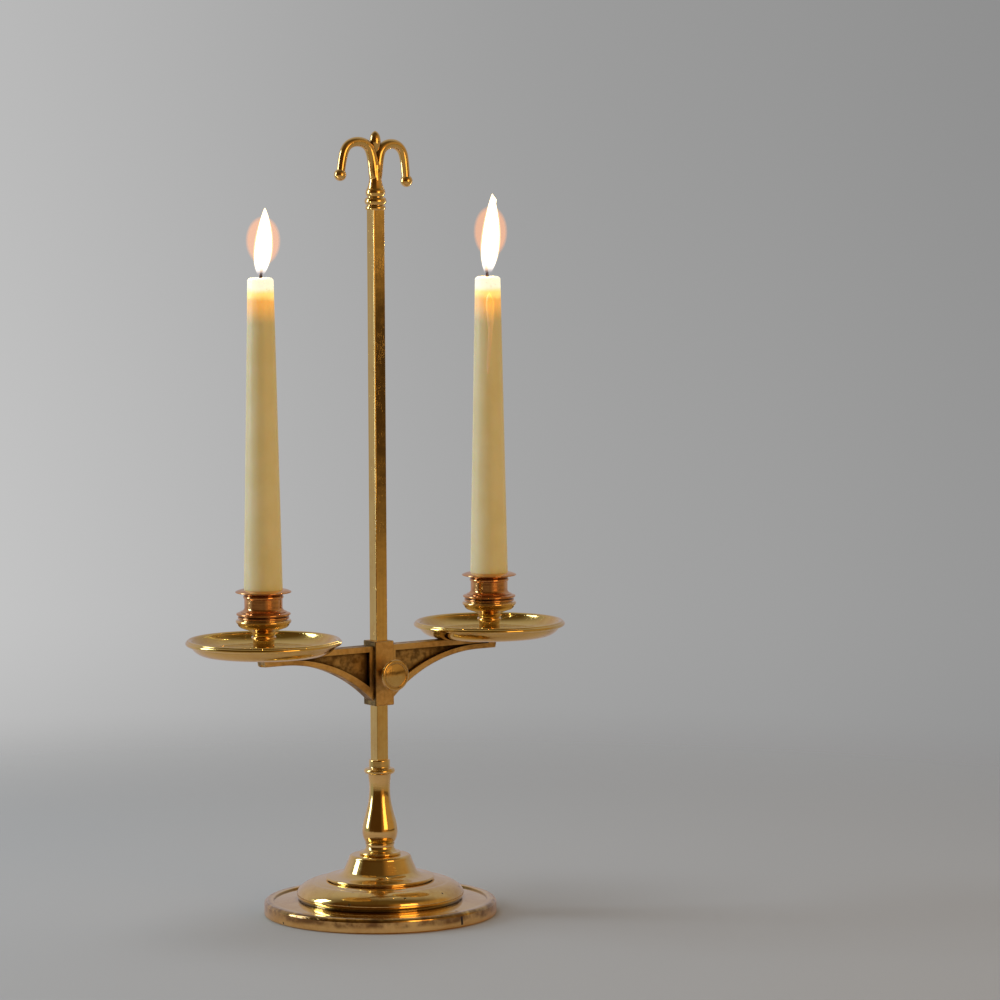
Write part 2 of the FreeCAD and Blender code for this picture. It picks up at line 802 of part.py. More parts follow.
# Candle: a foot shaved to fit the nozzle, a tapered shaft and a shallow melted well
def candle(x, height):
    foot_radius = nozzle_bore_radius - candle_foot_clearance
    shoulder_z = nozzle_top_z - nozzle_mouth_depth
    top = nozzle_top_z + height
    wax = Outline(0, candle_foot_z)
    wax.line(foot_radius, candle_foot_z)
    wax.line(foot_radius, shoulder_z)
    wax.line(candle_radius, nozzle_top_z)
    wax.line(candle_top_radius, top - candle_top_round)
    wax.bow(candle_well_radius, top, candle_top_bulge)
    wax.bow(wick_radius, top - candle_well_depth, -candle_well_dip)
    wax.line(wick_radius, top - wick_depth)
    wax.line(0, top - wick_depth)
    return moved(wax.turned(), x=x)


def wick(x, height, lean):
    top = nozzle_top_z + height
    bend_z = top + wick_straight * wick_height
    path = Part.BSplineCurve()
    path.interpolate(
        [
            FreeCAD.Vector(0, 0, top - candle_well_depth),
            FreeCAD.Vector(wick_straight_lean * lean, 0, bend_z),
            FreeCAD.Vector(lean, 0, top + wick_height),
        ],
        InitialTangent=FreeCAD.Vector(0, 0, 1),
        FinalTangent=FreeCAD.Vector(lean, 0, wick_height / 2),
    )
    above = tapered_bar(path, wick_radius, wick_tip_radius, wick_section_count)
    below = rod_of(wick_radius, top - wick_depth, top - candle_well_depth)
    return moved(above.fuse(below), x=x)


def build():
    pieces = {
        "base_casting": base_casting(),
        "bell_cap": bell_cap(),
        "baluster": baluster(),
        "square_rod": square_rod(),
        "base_washer": base_washer(),
        "base_nut": base_nut(),
        "finial_collar": finial_collar(),
        "finial_hooks": finial_hooks(),
        "bracket_sleeve": bracket_sleeve(),
        "thumbscrew": thumbscrew(),
        "screw_pad": screw_pad(),
    }
    sides = (
        ("left", -1, candle_left_height, wick_bend),
        ("right", 1, candle_right_height, -wick_bend),
    )
    for name, side, height, lean in sides:
        x = side * socket_x
        pieces["arm_" + name] = arm(side)
        pieces["drip_pan_" + name] = drip_pan(x)
        pieces["socket_stem_" + name] = socket_stem(x)
        pieces["socket_screw_" + name] = socket_screw(x)
        pieces["nozzle_" + name] = candle_nozzle(x)
        pieces["candle_" + name] = candle(x, height)
        pieces["wick_" + name] = wick(x, height, lean)
    return pieces


os.makedirs("parts", exist_ok=True)
for node, shape in build().items():
    state = "valid" if shape.isValid() else "NOT VALID"
    print(node, state, len(shape.Solids), "solid", round(shape.Volume), "mm3")
    shape.exportStep("parts/" + node + ".step")
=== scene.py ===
import json
import math

import bpy
from mathutils import Matrix, Vector

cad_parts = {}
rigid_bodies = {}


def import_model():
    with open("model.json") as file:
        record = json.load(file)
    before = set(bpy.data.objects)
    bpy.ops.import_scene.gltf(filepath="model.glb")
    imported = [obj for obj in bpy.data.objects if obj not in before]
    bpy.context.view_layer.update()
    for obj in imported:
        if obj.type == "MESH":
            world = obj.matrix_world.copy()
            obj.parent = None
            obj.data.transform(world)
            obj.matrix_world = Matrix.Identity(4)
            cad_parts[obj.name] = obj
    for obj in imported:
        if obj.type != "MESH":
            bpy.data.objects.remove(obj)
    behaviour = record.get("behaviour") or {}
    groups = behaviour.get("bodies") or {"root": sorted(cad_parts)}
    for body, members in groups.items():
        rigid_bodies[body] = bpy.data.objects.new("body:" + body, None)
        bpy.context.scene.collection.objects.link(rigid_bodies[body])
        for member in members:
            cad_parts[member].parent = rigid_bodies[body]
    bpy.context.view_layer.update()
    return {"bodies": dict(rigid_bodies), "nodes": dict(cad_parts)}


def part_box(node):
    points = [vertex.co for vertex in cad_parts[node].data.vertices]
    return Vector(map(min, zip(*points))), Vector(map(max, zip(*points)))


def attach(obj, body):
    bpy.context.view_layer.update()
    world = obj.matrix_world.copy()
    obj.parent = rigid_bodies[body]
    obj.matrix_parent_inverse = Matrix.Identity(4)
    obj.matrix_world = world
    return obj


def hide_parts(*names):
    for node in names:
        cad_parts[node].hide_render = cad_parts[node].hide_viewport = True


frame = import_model()
nodes = frame["nodes"]
scene = bpy.context.scene
scene.view_settings.view_transform = "Standard"
print("frame loaded:", len(nodes), "nodes")

# Camera, from the photograph's perspective. Everything here is in metres and degrees.
cameraView = {
    "turn": 34.645,  # how far the photograph is taken round from the lamp's front
    "distance": 2.5,
    "sideways": 0.07118,
    "height": 0.46314,
    "pitch": 5.039,
    "roll": -0.26,
    "lens": 155.34,
    "sensor": 36.0,
}


def fromView(across, away, up):  # a place given to the rod's right, behind it and above the floor
    turn = math.radians(cameraView["turn"])
    return Vector(
        (
            across * math.cos(turn) + away * math.sin(turn),
            away * math.cos(turn) - across * math.sin(turn),
            up,
        )
    )


def makeCamera():
    pitch = math.radians(cameraView["pitch"])
    roll = math.radians(cameraView["roll"])
    right = fromView(1, 0, 0)
    ahead = fromView(0, math.cos(pitch), -math.sin(pitch))
    above = fromView(0, math.sin(pitch), math.cos(pitch))
    tiltedRight = right * math.cos(roll) + above * math.sin(roll)
    tiltedUp = above * math.cos(roll) - right * math.sin(roll)
    lens = bpy.data.cameras.new("photoCamera")
    lens.lens = cameraView["lens"]
    lens.sensor_width = cameraView["sensor"]
    lens.clip_start = 0.05
    lens.clip_end = 60
    camera = bpy.data.objects.new("photoCamera", lens)
    scene.collection.objects.link(camera)
    place = fromView(cameraView["sideways"], -cameraView["distance"], cameraView["height"])
    turned = Matrix((tiltedRight, tiltedUp, -ahead)).transposed().to_4x4()
    camera.matrix_world = Matrix.Translation(place) @ turned
    scene.camera = camera


makeCamera()
print("camera placed")


# Node helpers
def addNode(tree, kind, values=None, **settings):
    node = tree.nodes.new("ShaderNode" + kind)
    for name, value in settings.items():
        setattr(node, name, value)
    for name, value in (values or {}).items():
        node.inputs[name].default_value = value
    return node


def plug(tree, source, target):
    if isinstance(source, (int, float, tuple)):
        target.default_value = source
    else:
        tree.links.new(source, target)


def maths(tree, operation, first, second=0.0, third=0.0, clamped=False):
    node = addNode(tree, "Math", operation=operation, use_clamp=clamped)
    for value, socket in zip((first, second, third), node.inputs):
        plug(tree, value, socket)
    return node.outputs[0]


def ranged(tree, value, low, high, toLow=0.0, toHigh=1.0, smooth=True):
    kind = "SMOOTHSTEP" if smooth else "LINEAR"
    node = addNode(tree, "MapRange", interpolation_type=kind, clamp=True)
    plug(tree, value, node.inputs["Value"])
    ends = {"From Min": low, "From Max": high, "To Min": toLow, "To Max": toHigh}
    for name, number in ends.items():
        plug(tree, number, node.inputs[name])
    return node.outputs[0]


def mixed(tree, share, first, second):
    node = addNode(tree, "Mix", data_type="RGBA")
    for value, index in ((share, 0), (first, 6), (second, 7)):
        plug(tree, value, node.inputs[index])
    return node.outputs[2]


def noise(tree, place, scale, detail=3.0, rough=0.5, twist=0.0):
    values = {"Scale": scale, "Detail": detail, "Roughness": rough, "Distortion": twist}
    node = addNode(tree, "TexNoise", values)
    tree.links.new(place, node.inputs["Vector"])
    return node.outputs["Fac"]


def stretched(tree, place, scale, turn=(0, 0, 0)):
    node = addNode(tree, "Mapping", {"Scale": scale, "Rotation": turn})
    tree.links.new(place, node.inputs["Vector"])
    return node.outputs[0]


def dotted(tree, vector, direction):
    node = addNode(tree, "VectorMath", operation="DOT_PRODUCT")
    tree.links.new(vector, node.inputs[0])
    node.inputs[1].default_value = direction
    return node.outputs["Value"]


def axisOf(tree, vector, axis):
    split = addNode(tree, "SeparateXYZ")
    tree.links.new(vector, split.inputs[0])
    return split.outputs[axis]


def makeGroup(name, inputs, outputs):
    tree = bpy.data.node_groups.new(name, "ShaderNodeTree")
    for label, kind, value in inputs:
        kind = "NodeSocket" + kind
        socket = tree.interface.new_socket(name=label, in_out="INPUT", socket_type=kind)
        if value is not None:
            socket.default_value = value
    for label, kind in outputs:
        kind = "NodeSocket" + kind
        tree.interface.new_socket(name=label, in_out="OUTPUT", socket_type=kind)
    given = tree.nodes.new("NodeGroupInput").outputs
    return tree, given, tree.nodes.new("NodeGroupOutput").inputs


# Surface effects that several metals share
scratchLook = {
    "turns": ((0.3, 0.9, 0.2), (1.2, 0.4, 1.9), (2.1, 1.4, 0.7)),  # how each set of strokes lies
    "fineness": 620,
    "finenessStep": 90,
    "stretch": 0.07,
    "width": 0.012,
    "patchScale": 70,
    "patchStep": 25,
    "patchEdges": (0.52, 0.66),
}


def makeHairScratches():
    inputs = (("Position", "Vector", None), ("Density", "Float", 0.5))
    tree, given, result = makeGroup("hairScratches", inputs, (("Mask", "Float"),))
    where = given["Position"]
    total = 0.0
    for k, turn in enumerate(scratchLook["turns"]):
        strokes = stretched(tree, where, (1.0, 1.0, scratchLook["stretch"]), turn)
        drawn = noise(tree, strokes, scratchLook["fineness"] + scratchLook["finenessStep"] * k, 1.0)
        middle = maths(tree, "ABSOLUTE", maths(tree, "SUBTRACT", drawn, 0.5))
        line = ranged(tree, middle, 0.0, scratchLook["width"], 1.0, 0.0)
        clouds = noise(tree, where, scratchLook["patchScale"] + scratchLook["patchStep"] * k, 2.0)
        patches = ranged(tree, clouds, *scratchLook["patchEdges"])
        total = maths(tree, "MAXIMUM", maths(tree, "MULTIPLY", line, patches), total)
    tree.links.new(maths(tree, "MULTIPLY", total, given["Density"]), result["Mask"])
    return tree


pitLook = {"smallest": 0.03, "spread": 0.16, "softEdge": 0.6}  # in spacings


def makePits():
    inputs = (("Position", "Vector", None), ("Spacing", "Float", 0.004), ("Share", "Float", 0.3))
    tree, given, result = makeGroup("pits", inputs, (("Mask", "Float"),))
    cells = addNode(tree, "TexVoronoi", {"Randomness": 1.0})
    tree.links.new(given["Position"], cells.inputs["Vector"])
    plug(tree, maths(tree, "DIVIDE", 1.0, given["Spacing"]), cells.inputs["Scale"])
    picked = addNode(tree, "SeparateColor")
    tree.links.new(cells.outputs["Color"], picked.inputs[0])
    chosen = maths(tree, "LESS_THAN", picked.outputs[0], given["Share"])
    size = maths(tree, "MULTIPLY_ADD", picked.outputs[1], pitLook["spread"], pitLook["smallest"])
    edge = maths(tree, "MULTIPLY", size, pitLook["softEdge"])
    spot = ranged(tree, cells.outputs["Distance"], edge, size, 1.0, 0.0)
    tree.links.new(maths(tree, "MULTIPLY", spot, chosen), result["Mask"])
    return tree


latheLook = {"climb": 0.8, "detail": 3.0, "rough": 0.7}  # climb brings the rings onto upright walls


def makeLatheMarks():
    inputs = (("Position", "Vector", None), ("Fineness", "Float", 1500.0))
    tree, given, result = makeGroup("latheMarks", inputs, (("Height", "Float"),))
    split = addNode(tree, "SeparateXYZ")
    tree.links.new(given["Position"], split.inputs[0])
    squares = [maths(tree, "POWER", split.outputs[axis], 2.0) for axis in (0, 1)]
    radius = maths(tree, "SQRT", maths(tree, "ADD", *squares))
    along = maths(tree, "MULTIPLY_ADD", split.outputs[2], latheLook["climb"], radius)
    values = {"Detail": latheLook["detail"], "Roughness": latheLook["rough"]}
    marks = addNode(tree, "TexNoise", values, noise_dimensions="1D")
    tree.links.new(along, marks.inputs["W"])
    tree.links.new(given["Fineness"], marks.inputs["Scale"])
    tree.links.new(marks.outputs["Fac"], result["Height"])
    return tree


streakLook = {"stretch": 0.02, "detail": 3.0, "rough": 0.6, "edges": (0.35, 0.68)}


def makeLongStreaks():  # the draw lines of square bar, along Z
    inputs = (("Position", "Vector", None), ("Fineness", "Float", 900.0))
    tree, given, result = makeGroup("longStreaks", inputs, (("Mask", "Float"),))
    values = {"Detail": streakLook["detail"], "Roughness": streakLook["rough"]}
    drawn = addNode(tree, "TexNoise", values)
    lengthwise = stretched(tree, given["Position"], (1.0, 1.0, streakLook["stretch"]))
    tree.links.new(lengthwise, drawn.inputs["Vector"])
    tree.links.new(given["Fineness"], drawn.inputs["Scale"])
    tree.links.new(ranged(tree, drawn.outputs["Fac"], *streakLook["edges"]), result["Mask"])
    return tree


agedLook = {
    "cloudScale": 34,
    "smudgeScale": 190,
    "smudgeShare": 0.35,
    "leastStain": 0.78,
    "stainPull": 0.5,
    "stainSoftness": 0.34,
    "darkCorner": 0.34,
    "cleanCorner": 0.92,
    "haze": 0.12,
}


# Tarnish stains, plus darkening towards a near-black colour in corners and crevices that is partly
# grime and partly painted shade
def makeAgedMetal():
    inputs = (
        ("Position", "Vector", None),
        ("Polished", "Color", (0.8, 0.6, 0.2, 1)),
        ("Tarnished", "Color", (0.3, 0.2, 0.08, 1)),
        ("Grime", "Color", (0.03, 0.015, 0.004, 1)),
        ("Tarnish", "Float", 0.3),
        ("Crevice", "Float", 0.5),
        ("Reach", "Float", 0.0035),
        ("Smooth", "Float", 0.1),
        ("Dull", "Float", 0.4),
    )
    outputs = (("Color", "Color"), ("Roughness", "Float"))
    tree, given, result = makeGroup("agedMetal", inputs, outputs)
    where = given["Position"]
    clouds = noise(tree, where, agedLook["cloudScale"], 6.0, 0.62, 0.4)
    smudges = noise(tree, where, agedLook["smudgeScale"], 4.0, 0.6, 0.8)
    pull = maths(tree, "MULTIPLY", given["Tarnish"], agedLook["stainPull"])
    reach = maths(tree, "SUBTRACT", agedLook["leastStain"], pull)
    full = maths(tree, "ADD", reach, agedLook["stainSoftness"])
    uneven = maths(tree, "MULTIPLY_ADD", smudges, agedLook["smudgeShare"], clouds)
    stain = ranged(tree, uneven, reach, full)
    # Painted shade, and partly grime: ambient occlusion darkens the colour where other surfaces
    # close in
    hidden = addNode(tree, "AmbientOcclusion", samples=6, only_local=True)
    tree.links.new(given["Reach"], hidden.inputs["Distance"])
    openness = hidden.outputs["AO"]
    corners = ranged(tree, openness, agedLook["darkCorner"], agedLook["cleanCorner"], 1.0, 0.0)
    corners = maths(tree, "MULTIPLY", corners, given["Crevice"], clamped=True)
    plain = mixed(tree, stain, given["Polished"], given["Tarnished"])
    tree.links.new(mixed(tree, corners, plain, given["Grime"]), result["Color"])
    worn = maths(tree, "MAXIMUM", stain, corners)
    spread = maths(tree, "SUBTRACT", given["Dull"], given["Smooth"])
    haze = maths(tree, "MULTIPLY_ADD", smudges, agedLook["haze"], worn)
    rough = maths(tree, "MULTIPLY_ADD", haze, spread, given["Smooth"])
    tree.links.new(rough, result["Roughness"])
    return tree


effects = {
    "scratches": makeHairScratches(),
    "pits": makePits(),
    "lathe": makeLatheMarks(),
    "streaks": makeLongStreaks(),
    "aged": makeAgedMetal(),
}


def useEffect(tree, name, place, values=None):
    node = addNode(tree, "Group", node_tree=effects[name])
    tree.links.new(place, node.inputs["Position"])
    for label, value in (values or {}).items():
        node.inputs[label].default_value = value
    return node.outputs


def startMaterial(name):
    material = bpy.data.materials.new(name)
    material.use_nodes = True
    tree = material.node_tree
    return material, tree, tree.nodes["Principled BSDF"]


def centredCoords(tree, centre):
    coords = addNode(tree, "TexCoord")
    node = addNode(tree, "Mapping", {"Location": (-centre[0], -centre[1], -centre[2])})
    tree.links.new(coords.outputs["Object"], node.inputs["Vector"])
    return node.outputs[0]


def bumped(tree, height, depth, shader):
    bump = addNode(tree, "Bump", {"Strength": 1.0, "Distance": depth})
    tree.links.new(height, bump.inputs["Height"])
    tree.links.new(bump.outputs["Normal"], shader.inputs["Normal"])


def dress(name, material):
    piece = nodes[name]
    piece.data.materials.clear()
    piece.data.materials.append(material)


# Metals: one look for each kind of piece
turnedLook = {
    "polished": (0.93, 0.70, 0.27),
    "tarnished": (0.74, 0.47, 0.13),
    "tarnish": 0.30,
    # crevice: how strongly corners and crevices darken, partly grime and partly painted shade
    "crevice": 0.75,
    "reach": 0.0035,
    "smooth": 0.045,
    "dull": 0.15,
    "scratches": 0.5,
    "pits": 0.05,
    "pitSpacing": 0.005,
    "grain": 0.25,
    "grainScale": 160,
    "lathe": 0.35,
    "streaks": 0.0,
    "lacquer": 1.0,
    "waves": 0.6,  # the slow unevenness of hand polishing
    "depth": 0.00005,
}
castLook = {
    **turnedLook,
    "polished": (0.80, 0.58, 0.26),
    "tarnished": (0.42, 0.27, 0.10),
    "tarnish": 0.5,
    "crevice": 1.0,
    "smooth": 0.27,
    "dull": 0.52,
    "grain": 1.0,
    "grainScale": 420,
    "lathe": 0.0,
    "lacquer": 0.0,
    "waves": 0.0,
    "depth": 0.00016,
}
rodLook = {
    **turnedLook,
    "lathe": 0.0,
    "pits": 0.07,
    "smooth": 0.05,
    "dull": 0.16,
    "streaks": 0.3,
    "waves": 0.1,
}
hookLook = {
    **turnedLook,
    "lathe": 0.0,
    "grain": 0.6,
    "polished": (0.93, 0.66, 0.24),
    "smooth": 0.1,
}
# the arms darken most in their recesses: partly grime, partly painted shade
armLook = {**castLook, "reach": 0.0050, "crevice": 1.9}
thumbscrewLook = {
    **turnedLook,
    "polished": (0.84, 0.61, 0.24),
    "smooth": 0.08,
    "dull": 0.18,
    "lathe": 0.0,
    "waves": 0.2,
}
panLook = {
    **turnedLook,
    "polished": (0.85, 0.64, 0.21),
    "pits": 0.05,
    "scratches": 0.8,
    "waves": 0.9,
}
nozzleLook = {  # a redder metal
    **turnedLook,
    "polished": (0.92, 0.53, 0.24),
    "tarnished": (0.50, 0.19, 0.06),
    "tarnish": 0.42,
    "waves": 0.3,
    "lacquer": 0.4,
}
looks = {
    "base_casting": {**turnedLook, "pits": 0.28, "pitSpacing": 0.007, "tarnish": 0.42},
    "bell_cap": {**turnedLook, "pits": 0.14, "tarnish": 0.38},
    "baluster": turnedLook,
    "square_rod": rodLook,
    "base_washer": castLook,
    "base_nut": castLook,
    "finial_collar": {**turnedLook, "polished": (0.93, 0.66, 0.24)},
    "finial_hooks": hookLook,
    "bracket_sleeve": {**castLook, "tarnish": 0.5, "reach": 0.003},
    "arm_left": armLook,
    "arm_right": armLook,
    "thumbscrew": thumbscrewLook,
    "screw_pad": castLook,
    "drip_pan": panLook,
    "socket_stem": {**turnedLook, "polished": (0.93, 0.64, 0.24)},
    "socket_screw": castLook,
    "nozzle": nozzleLook,
}
sleeveLeftShade = {  # painted shade: the sleeve's left face is painted nearly black, for the dark it shows beside the left arm
    "black": 0.95,
    "faceIn": 0.0002,
    "faceOut": 0.0006,
    "cloudScale": 240,
    "colour": (0.028, 0.015, 0.006, 1),
}
armTarnishAndShade = {  # the arms' sunk panels are dark, most of all beside the sleeve: painted shade at the root, and blotches that are partly tarnish and partly painted shade
    "roots": {"arm_left": 0.9, "arm_right": 0.35},
    "rootFrom": 0.0070,
    "rootTo": 0.0240,
    "webIn": 0.0030,
    "webOut": 0.0036,
    "cloudScale": 170,
    "blotchScale": 260,
    "blotches": (0.22, 0.78),
    "colour": (0.05, 0.027, 0.010, 1),
}
rimNick = {
    "across": 0.0485,
    "away": -0.0477,
    "low": 0.0018,
    "high": 0.0064,
    "width": 0.00105,
    "slant": 0.10,
    "softEnd": 0.0004,
    "colour": (0.012, 0.008, 0.006, 1),
}
# Painted reflection of the dark room on the rim's rounded top edge
rimDarkReflection = {
    "low": 0.0042,
    "high": 0.0066,
    "inner": 0.0045,
    "ripple": 0.004,
    "rippleScale": 45,
    "patchScale": 60,
    "colour": (0.24, 0.13, 0.03, 1),
}


# Painted shade: the sleeve's left face goes nearly black, with a little cloudiness
def shadedLeftFace(tree, name, where, colour):
    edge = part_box(name)[0].x
    inside, outside = edge + sleeveLeftShade["faceIn"], edge + sleeveLeftShade["faceOut"]
    outer = ranged(tree, axisOf(tree, where, 0), inside, outside, sleeveLeftShade["black"], 0.0)
    clouds = ranged(tree, noise(tree, where, sleeveLeftShade["cloudScale"], 3.0), 0.3, 0.75, 1.0, 0.62)
    return mixed(tree, maths(tree, "MULTIPLY", outer, clouds), colour, sleeveLeftShade["colour"])


def shadedRoot(tree, name, where, colour):
    along = maths(tree, "ABSOLUTE", axisOf(tree, where, 0))
    outward = maths(tree, "ABSOLUTE", axisOf(tree, where, 1))
    dark = armTarnishAndShade["roots"][name]
    near = ranged(tree, along, armTarnishAndShade["rootFrom"], armTarnishAndShade["rootTo"], dark, 0.0)
    sunk = ranged(tree, outward, armTarnishAndShade["webIn"], armTarnishAndShade["webOut"], 1.0, 0.25)
    clouds = ranged(tree, noise(tree, where, armTarnishAndShade["cloudScale"], 4.0), 0.3, 0.7, 0.55, 1.0)
    # painted shade in the corner where the arm meets the sleeve
    root = maths(tree, "MULTIPLY", maths(tree, "MULTIPLY", near, sunk), clouds)
    flat = ranged(tree, outward, armTarnishAndShade["webIn"], armTarnishAndShade["webOut"], 1.0, 0.0)
    specks = noise(tree, where, armTarnishAndShade["blotchScale"], 5.0)
    blotches = ranged(tree, specks, 0.36, 0.66, *armTarnishAndShade["blotches"])
    mask = maths(tree, "MAXIMUM", root, maths(tree, "MULTIPLY", flat, blotches))
    return mixed(tree, mask, colour, armTarnishAndShade["colour"])


def paintedRimReflection(tree, name, where, colour):  # painted reflection: brown patches under the rim's top edge, where the rounded edge mirrors the dark room
    low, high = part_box(name)
    radius = (high.x - low.x) / 2
    flat = addNode(tree, "VectorMath", operation="MULTIPLY")
    tree.links.new(where, flat.inputs[0])
    flat.inputs[1].default_value = (1, 1, 0)
    reach = addNode(tree, "VectorMath", operation="LENGTH")
    tree.links.new(flat.outputs[0], reach.inputs[0])
    inner = rimDarkReflection["inner"]
    outer = ranged(tree, reach.outputs["Value"], radius - inner, radius - inner / 2)
    height = axisOf(tree, where, 2)
    ripple = noise(tree, where, rimDarkReflection["rippleScale"], 3.0)
    level = maths(tree, "MULTIPLY_ADD", ripple, rimDarkReflection["ripple"], height)
    band = ranged(tree, level, rimDarkReflection["low"], rimDarkReflection["high"])
    patches = ranged(tree, noise(tree, where, rimDarkReflection["patchScale"], 5.0, 0.65), 0.36, 0.60)
    mask = maths(tree, "MULTIPLY", maths(tree, "MULTIPLY", outer, band), patches)
    return mixed(tree, mask, colour, rimDarkReflection["colour"])


def nickedRim(tree, where, colour):  # the short black mark on the base's rim
    outward = fromView(rimNick["across"], rimNick["away"], 0).normalized()
    sideways = Vector((-outward.y, outward.x, 0))
    height = axisOf(tree, where, 2)
    slid = maths(tree, "MULTIPLY_ADD", height, rimNick["slant"], dotted(tree, where, sideways))
    width = rimNick["width"]
    narrow = ranged(tree, maths(tree, "ABSOLUTE", slid), width * 0.6, width, 1.0, 0.0)
    outer = maths(tree, "GREATER_THAN", dotted(tree, where, outward), 0.05)
    above = ranged(tree, height, rimNick["low"] - rimNick["softEnd"], rimNick["low"])
    below = ranged(tree, height, rimNick["high"], rimNick["high"] + rimNick["softEnd"], 1.0, 0.0)
    strip = maths(tree, "MULTIPLY", narrow, outer)
    mask = maths(tree, "MULTIPLY", strip, maths(tree, "MULTIPLY", above, below))
    return mixed(tree, mask, colour, rimNick["colour"])


wearLook = {  # how pits and scratches show on every metal
    "pitDark": 0.85,
    "pitColour": (0.035, 0.02, 0.008, 1),
    "pitRough": 0.4,
    "scratchRough": 0.16,
    "scratchDepth": -0.25,
    "pitDepth": -1.0,
    "streakTint": 0.35,
    "waveScale": 55,
    "waveHeight": 9,
    "coatShare": 0.7,
}


def makeBrass(name, look, centre):
    material, tree, shader = startMaterial(name + "Brass")
    where = centredCoords(tree, centre)
    worn = {
        "Polished": (*look["polished"], 1),
        "Tarnished": (*look["tarnished"], 1),
        "Tarnish": look["tarnish"],
        "Crevice": look["crevice"],
        "Reach": look["reach"],
        "Smooth": look["smooth"],
        "Dull": look["dull"],
    }
    aged = useEffect(tree, "aged", where, worn)
    scratches = useEffect(tree, "scratches", where, {"Density": look["scratches"]})["Mask"]
    pitted = {"Spacing": look["pitSpacing"], "Share": look["pits"]}
    pits = useEffect(tree, "pits", where, pitted)["Mask"]
    darkened = maths(tree, "MULTIPLY", pits, wearLook["pitDark"])
    colour = mixed(tree, darkened, aged["Color"], wearLook["pitColour"])
    rough = maths(tree, "MULTIPLY_ADD", scratches, wearLook["scratchRough"], aged["Roughness"])
    rough = maths(tree, "MULTIPLY_ADD", pits, wearLook["pitRough"], rough, clamped=True)
    height = maths(tree, "MULTIPLY", noise(tree, where, look["grainScale"], 4.0), look["grain"])
    height = maths(tree, "MULTIPLY_ADD", scratches, wearLook["scratchDepth"], height)
    height = maths(tree, "MULTIPLY_ADD", pits, wearLook["pitDepth"], height)
    if look["lathe"]:
        marks = useEffect(tree, "lathe", where)["Height"]
        height = maths(tree, "MULTIPLY_ADD", marks, look["lathe"], height)
    if look["streaks"]:
        drawn = useEffect(tree, "streaks", where)["Mask"]
        tint = maths(tree, "MULTIPLY", drawn, wearLook["streakTint"])
        colour = mixed(tree, tint, colour, (*look["tarnished"], 1))
        height = maths(tree, "MULTIPLY_ADD", drawn, look["streaks"], height)
    # painted shade on the sleeve's left face
    if name == "bracket_sleeve":
        colour = shadedLeftFace(tree, name, where, colour)
    # painted shade in the arms' sunk panels, most of all beside the sleeve
    if name in armTarnishAndShade["roots"]:
        colour = shadedRoot(tree, name, where, colour)
    # painted dark reflection on the base's rim
    if name == "base_casting":
        colour = paintedRimReflection(tree, name, where, colour)
        colour = nickedRim(tree, where, colour)
    tree.links.new(colour, shader.inputs["Base Color"])
    tree.links.new(rough, shader.inputs["Roughness"])
    slow = noise(tree, where, wearLook["waveScale"], 1.0)
    height = maths(tree, "MULTIPLY_ADD", slow, look["waves"] * wearLook["waveHeight"], height)
    shader.inputs["Metallic"].default_value = 1.0
    shader.inputs["Coat Weight"].default_value = look["lacquer"]
    shader.inputs["Coat Roughness"].default_value = look["smooth"] * wearLook["coatShare"]
    bumped(tree, height, look["depth"], shader)
    return material


def dressMetals():
    for name in nodes:
        look = looks.get(name) or looks.get(name.replace("_left", "").replace("_right", ""))
        if look:
            low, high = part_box(name)
            middle = (low + high) / 2 if look["lathe"] else Vector((0, 0, 0))
            dress(name, makeBrass(name, look, (middle.x, middle.y, 0)))


dressMetals()
print("metals dressed")


# Mesh helpers
def meshObject(name, points, faces, material, smooth=True):
    mesh = bpy.data.meshes.new(name)
    mesh.from_pydata(points, [], faces)
    mesh.validate()
    mesh.materials.append(material)
    for face in mesh.polygons:
        face.use_smooth = smooth
    thing = bpy.data.objects.new(name, mesh)
    scene.collection.objects.link(thing)
    return thing


def closedSkin(rows, sides, first=0):  # faces over rings of points, with a flat face at each end
    faces = []
    for row in range(rows - 1):
        for k in range(sides):
            low, high = first + row * sides, first + (row + 1) * sides
            after = (k + 1) % sides
            faces.append((low + k, low + after, high + after, high + k))
    last = first + (rows - 1) * sides
    faces.append(tuple(reversed(range(first, first + sides))))
    faces.append(tuple(range(last, last + sides)))
    return faces


def candleTop(side):  # the middle of the candle's top
    low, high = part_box("candle_" + side)
    return Vector(((low.x + high.x) / 2, (low.y + high.y) / 2, high.z))


leastWallRadius = 0.006  # points nearer the middle are on the candle's ends


def candleRadius(side, height):  # measured on the candle's own mesh, near a level
    middle = candleTop(side)
    rims = {}
    for vertex in nodes["candle_" + side].data.vertices:
        reach = math.hypot(vertex.co.x - middle.x, vertex.co.y - middle.y)
        level = round(vertex.co.z, 4)
        rims[level] = max(reach, rims.get(level, 0))
    walls = [level for level in rims if rims[level] > leastWallRadius]
    lower = max((level for level in walls if level <= height), default=min(rims))
    upper = min((level for level in walls if level > height), default=max(rims))
    share = (height - lower) / (upper - lower) if upper > lower else 0
    return rims[lower] + share * (rims[upper] - rims[lower])


# Wax, with a painted glow from within near the flame
waxLook = {
    "wax": (0.80, 0.77, 0.54, 1),
    "pale": (0.84, 0.82, 0.62, 1),
    "molten": (1.0, 0.97, 0.76, 1),
    "honey": (1.0, 0.72, 0.16, 1),
    "amber": (0.72, 0.27, 0.015, 1),
    "inner": (0.115, 0.090, 0.018, 1),  # what the flame sends down the whole candle
    "moltenDepth": 0.0040,
    "honeyDepth": 0.0080,
    "amberDepth": 0.0125,
    "innerDepth": 0.0260,
    "unevenness": 0.003,
    "glow": 0.8,
    "scatter": (0.006, 0.0035, 0.0015),
    "scatterShare": 0.4,
    "shine": 0.35,
    "rough": (0.34, 0.52),
    "cloudScale": 60,
    "mottleScale": 90,
    "drawScale": 260,  # faint marks down the candle
    "drawShare": 0.6,
    "relief": 0.00025,
}


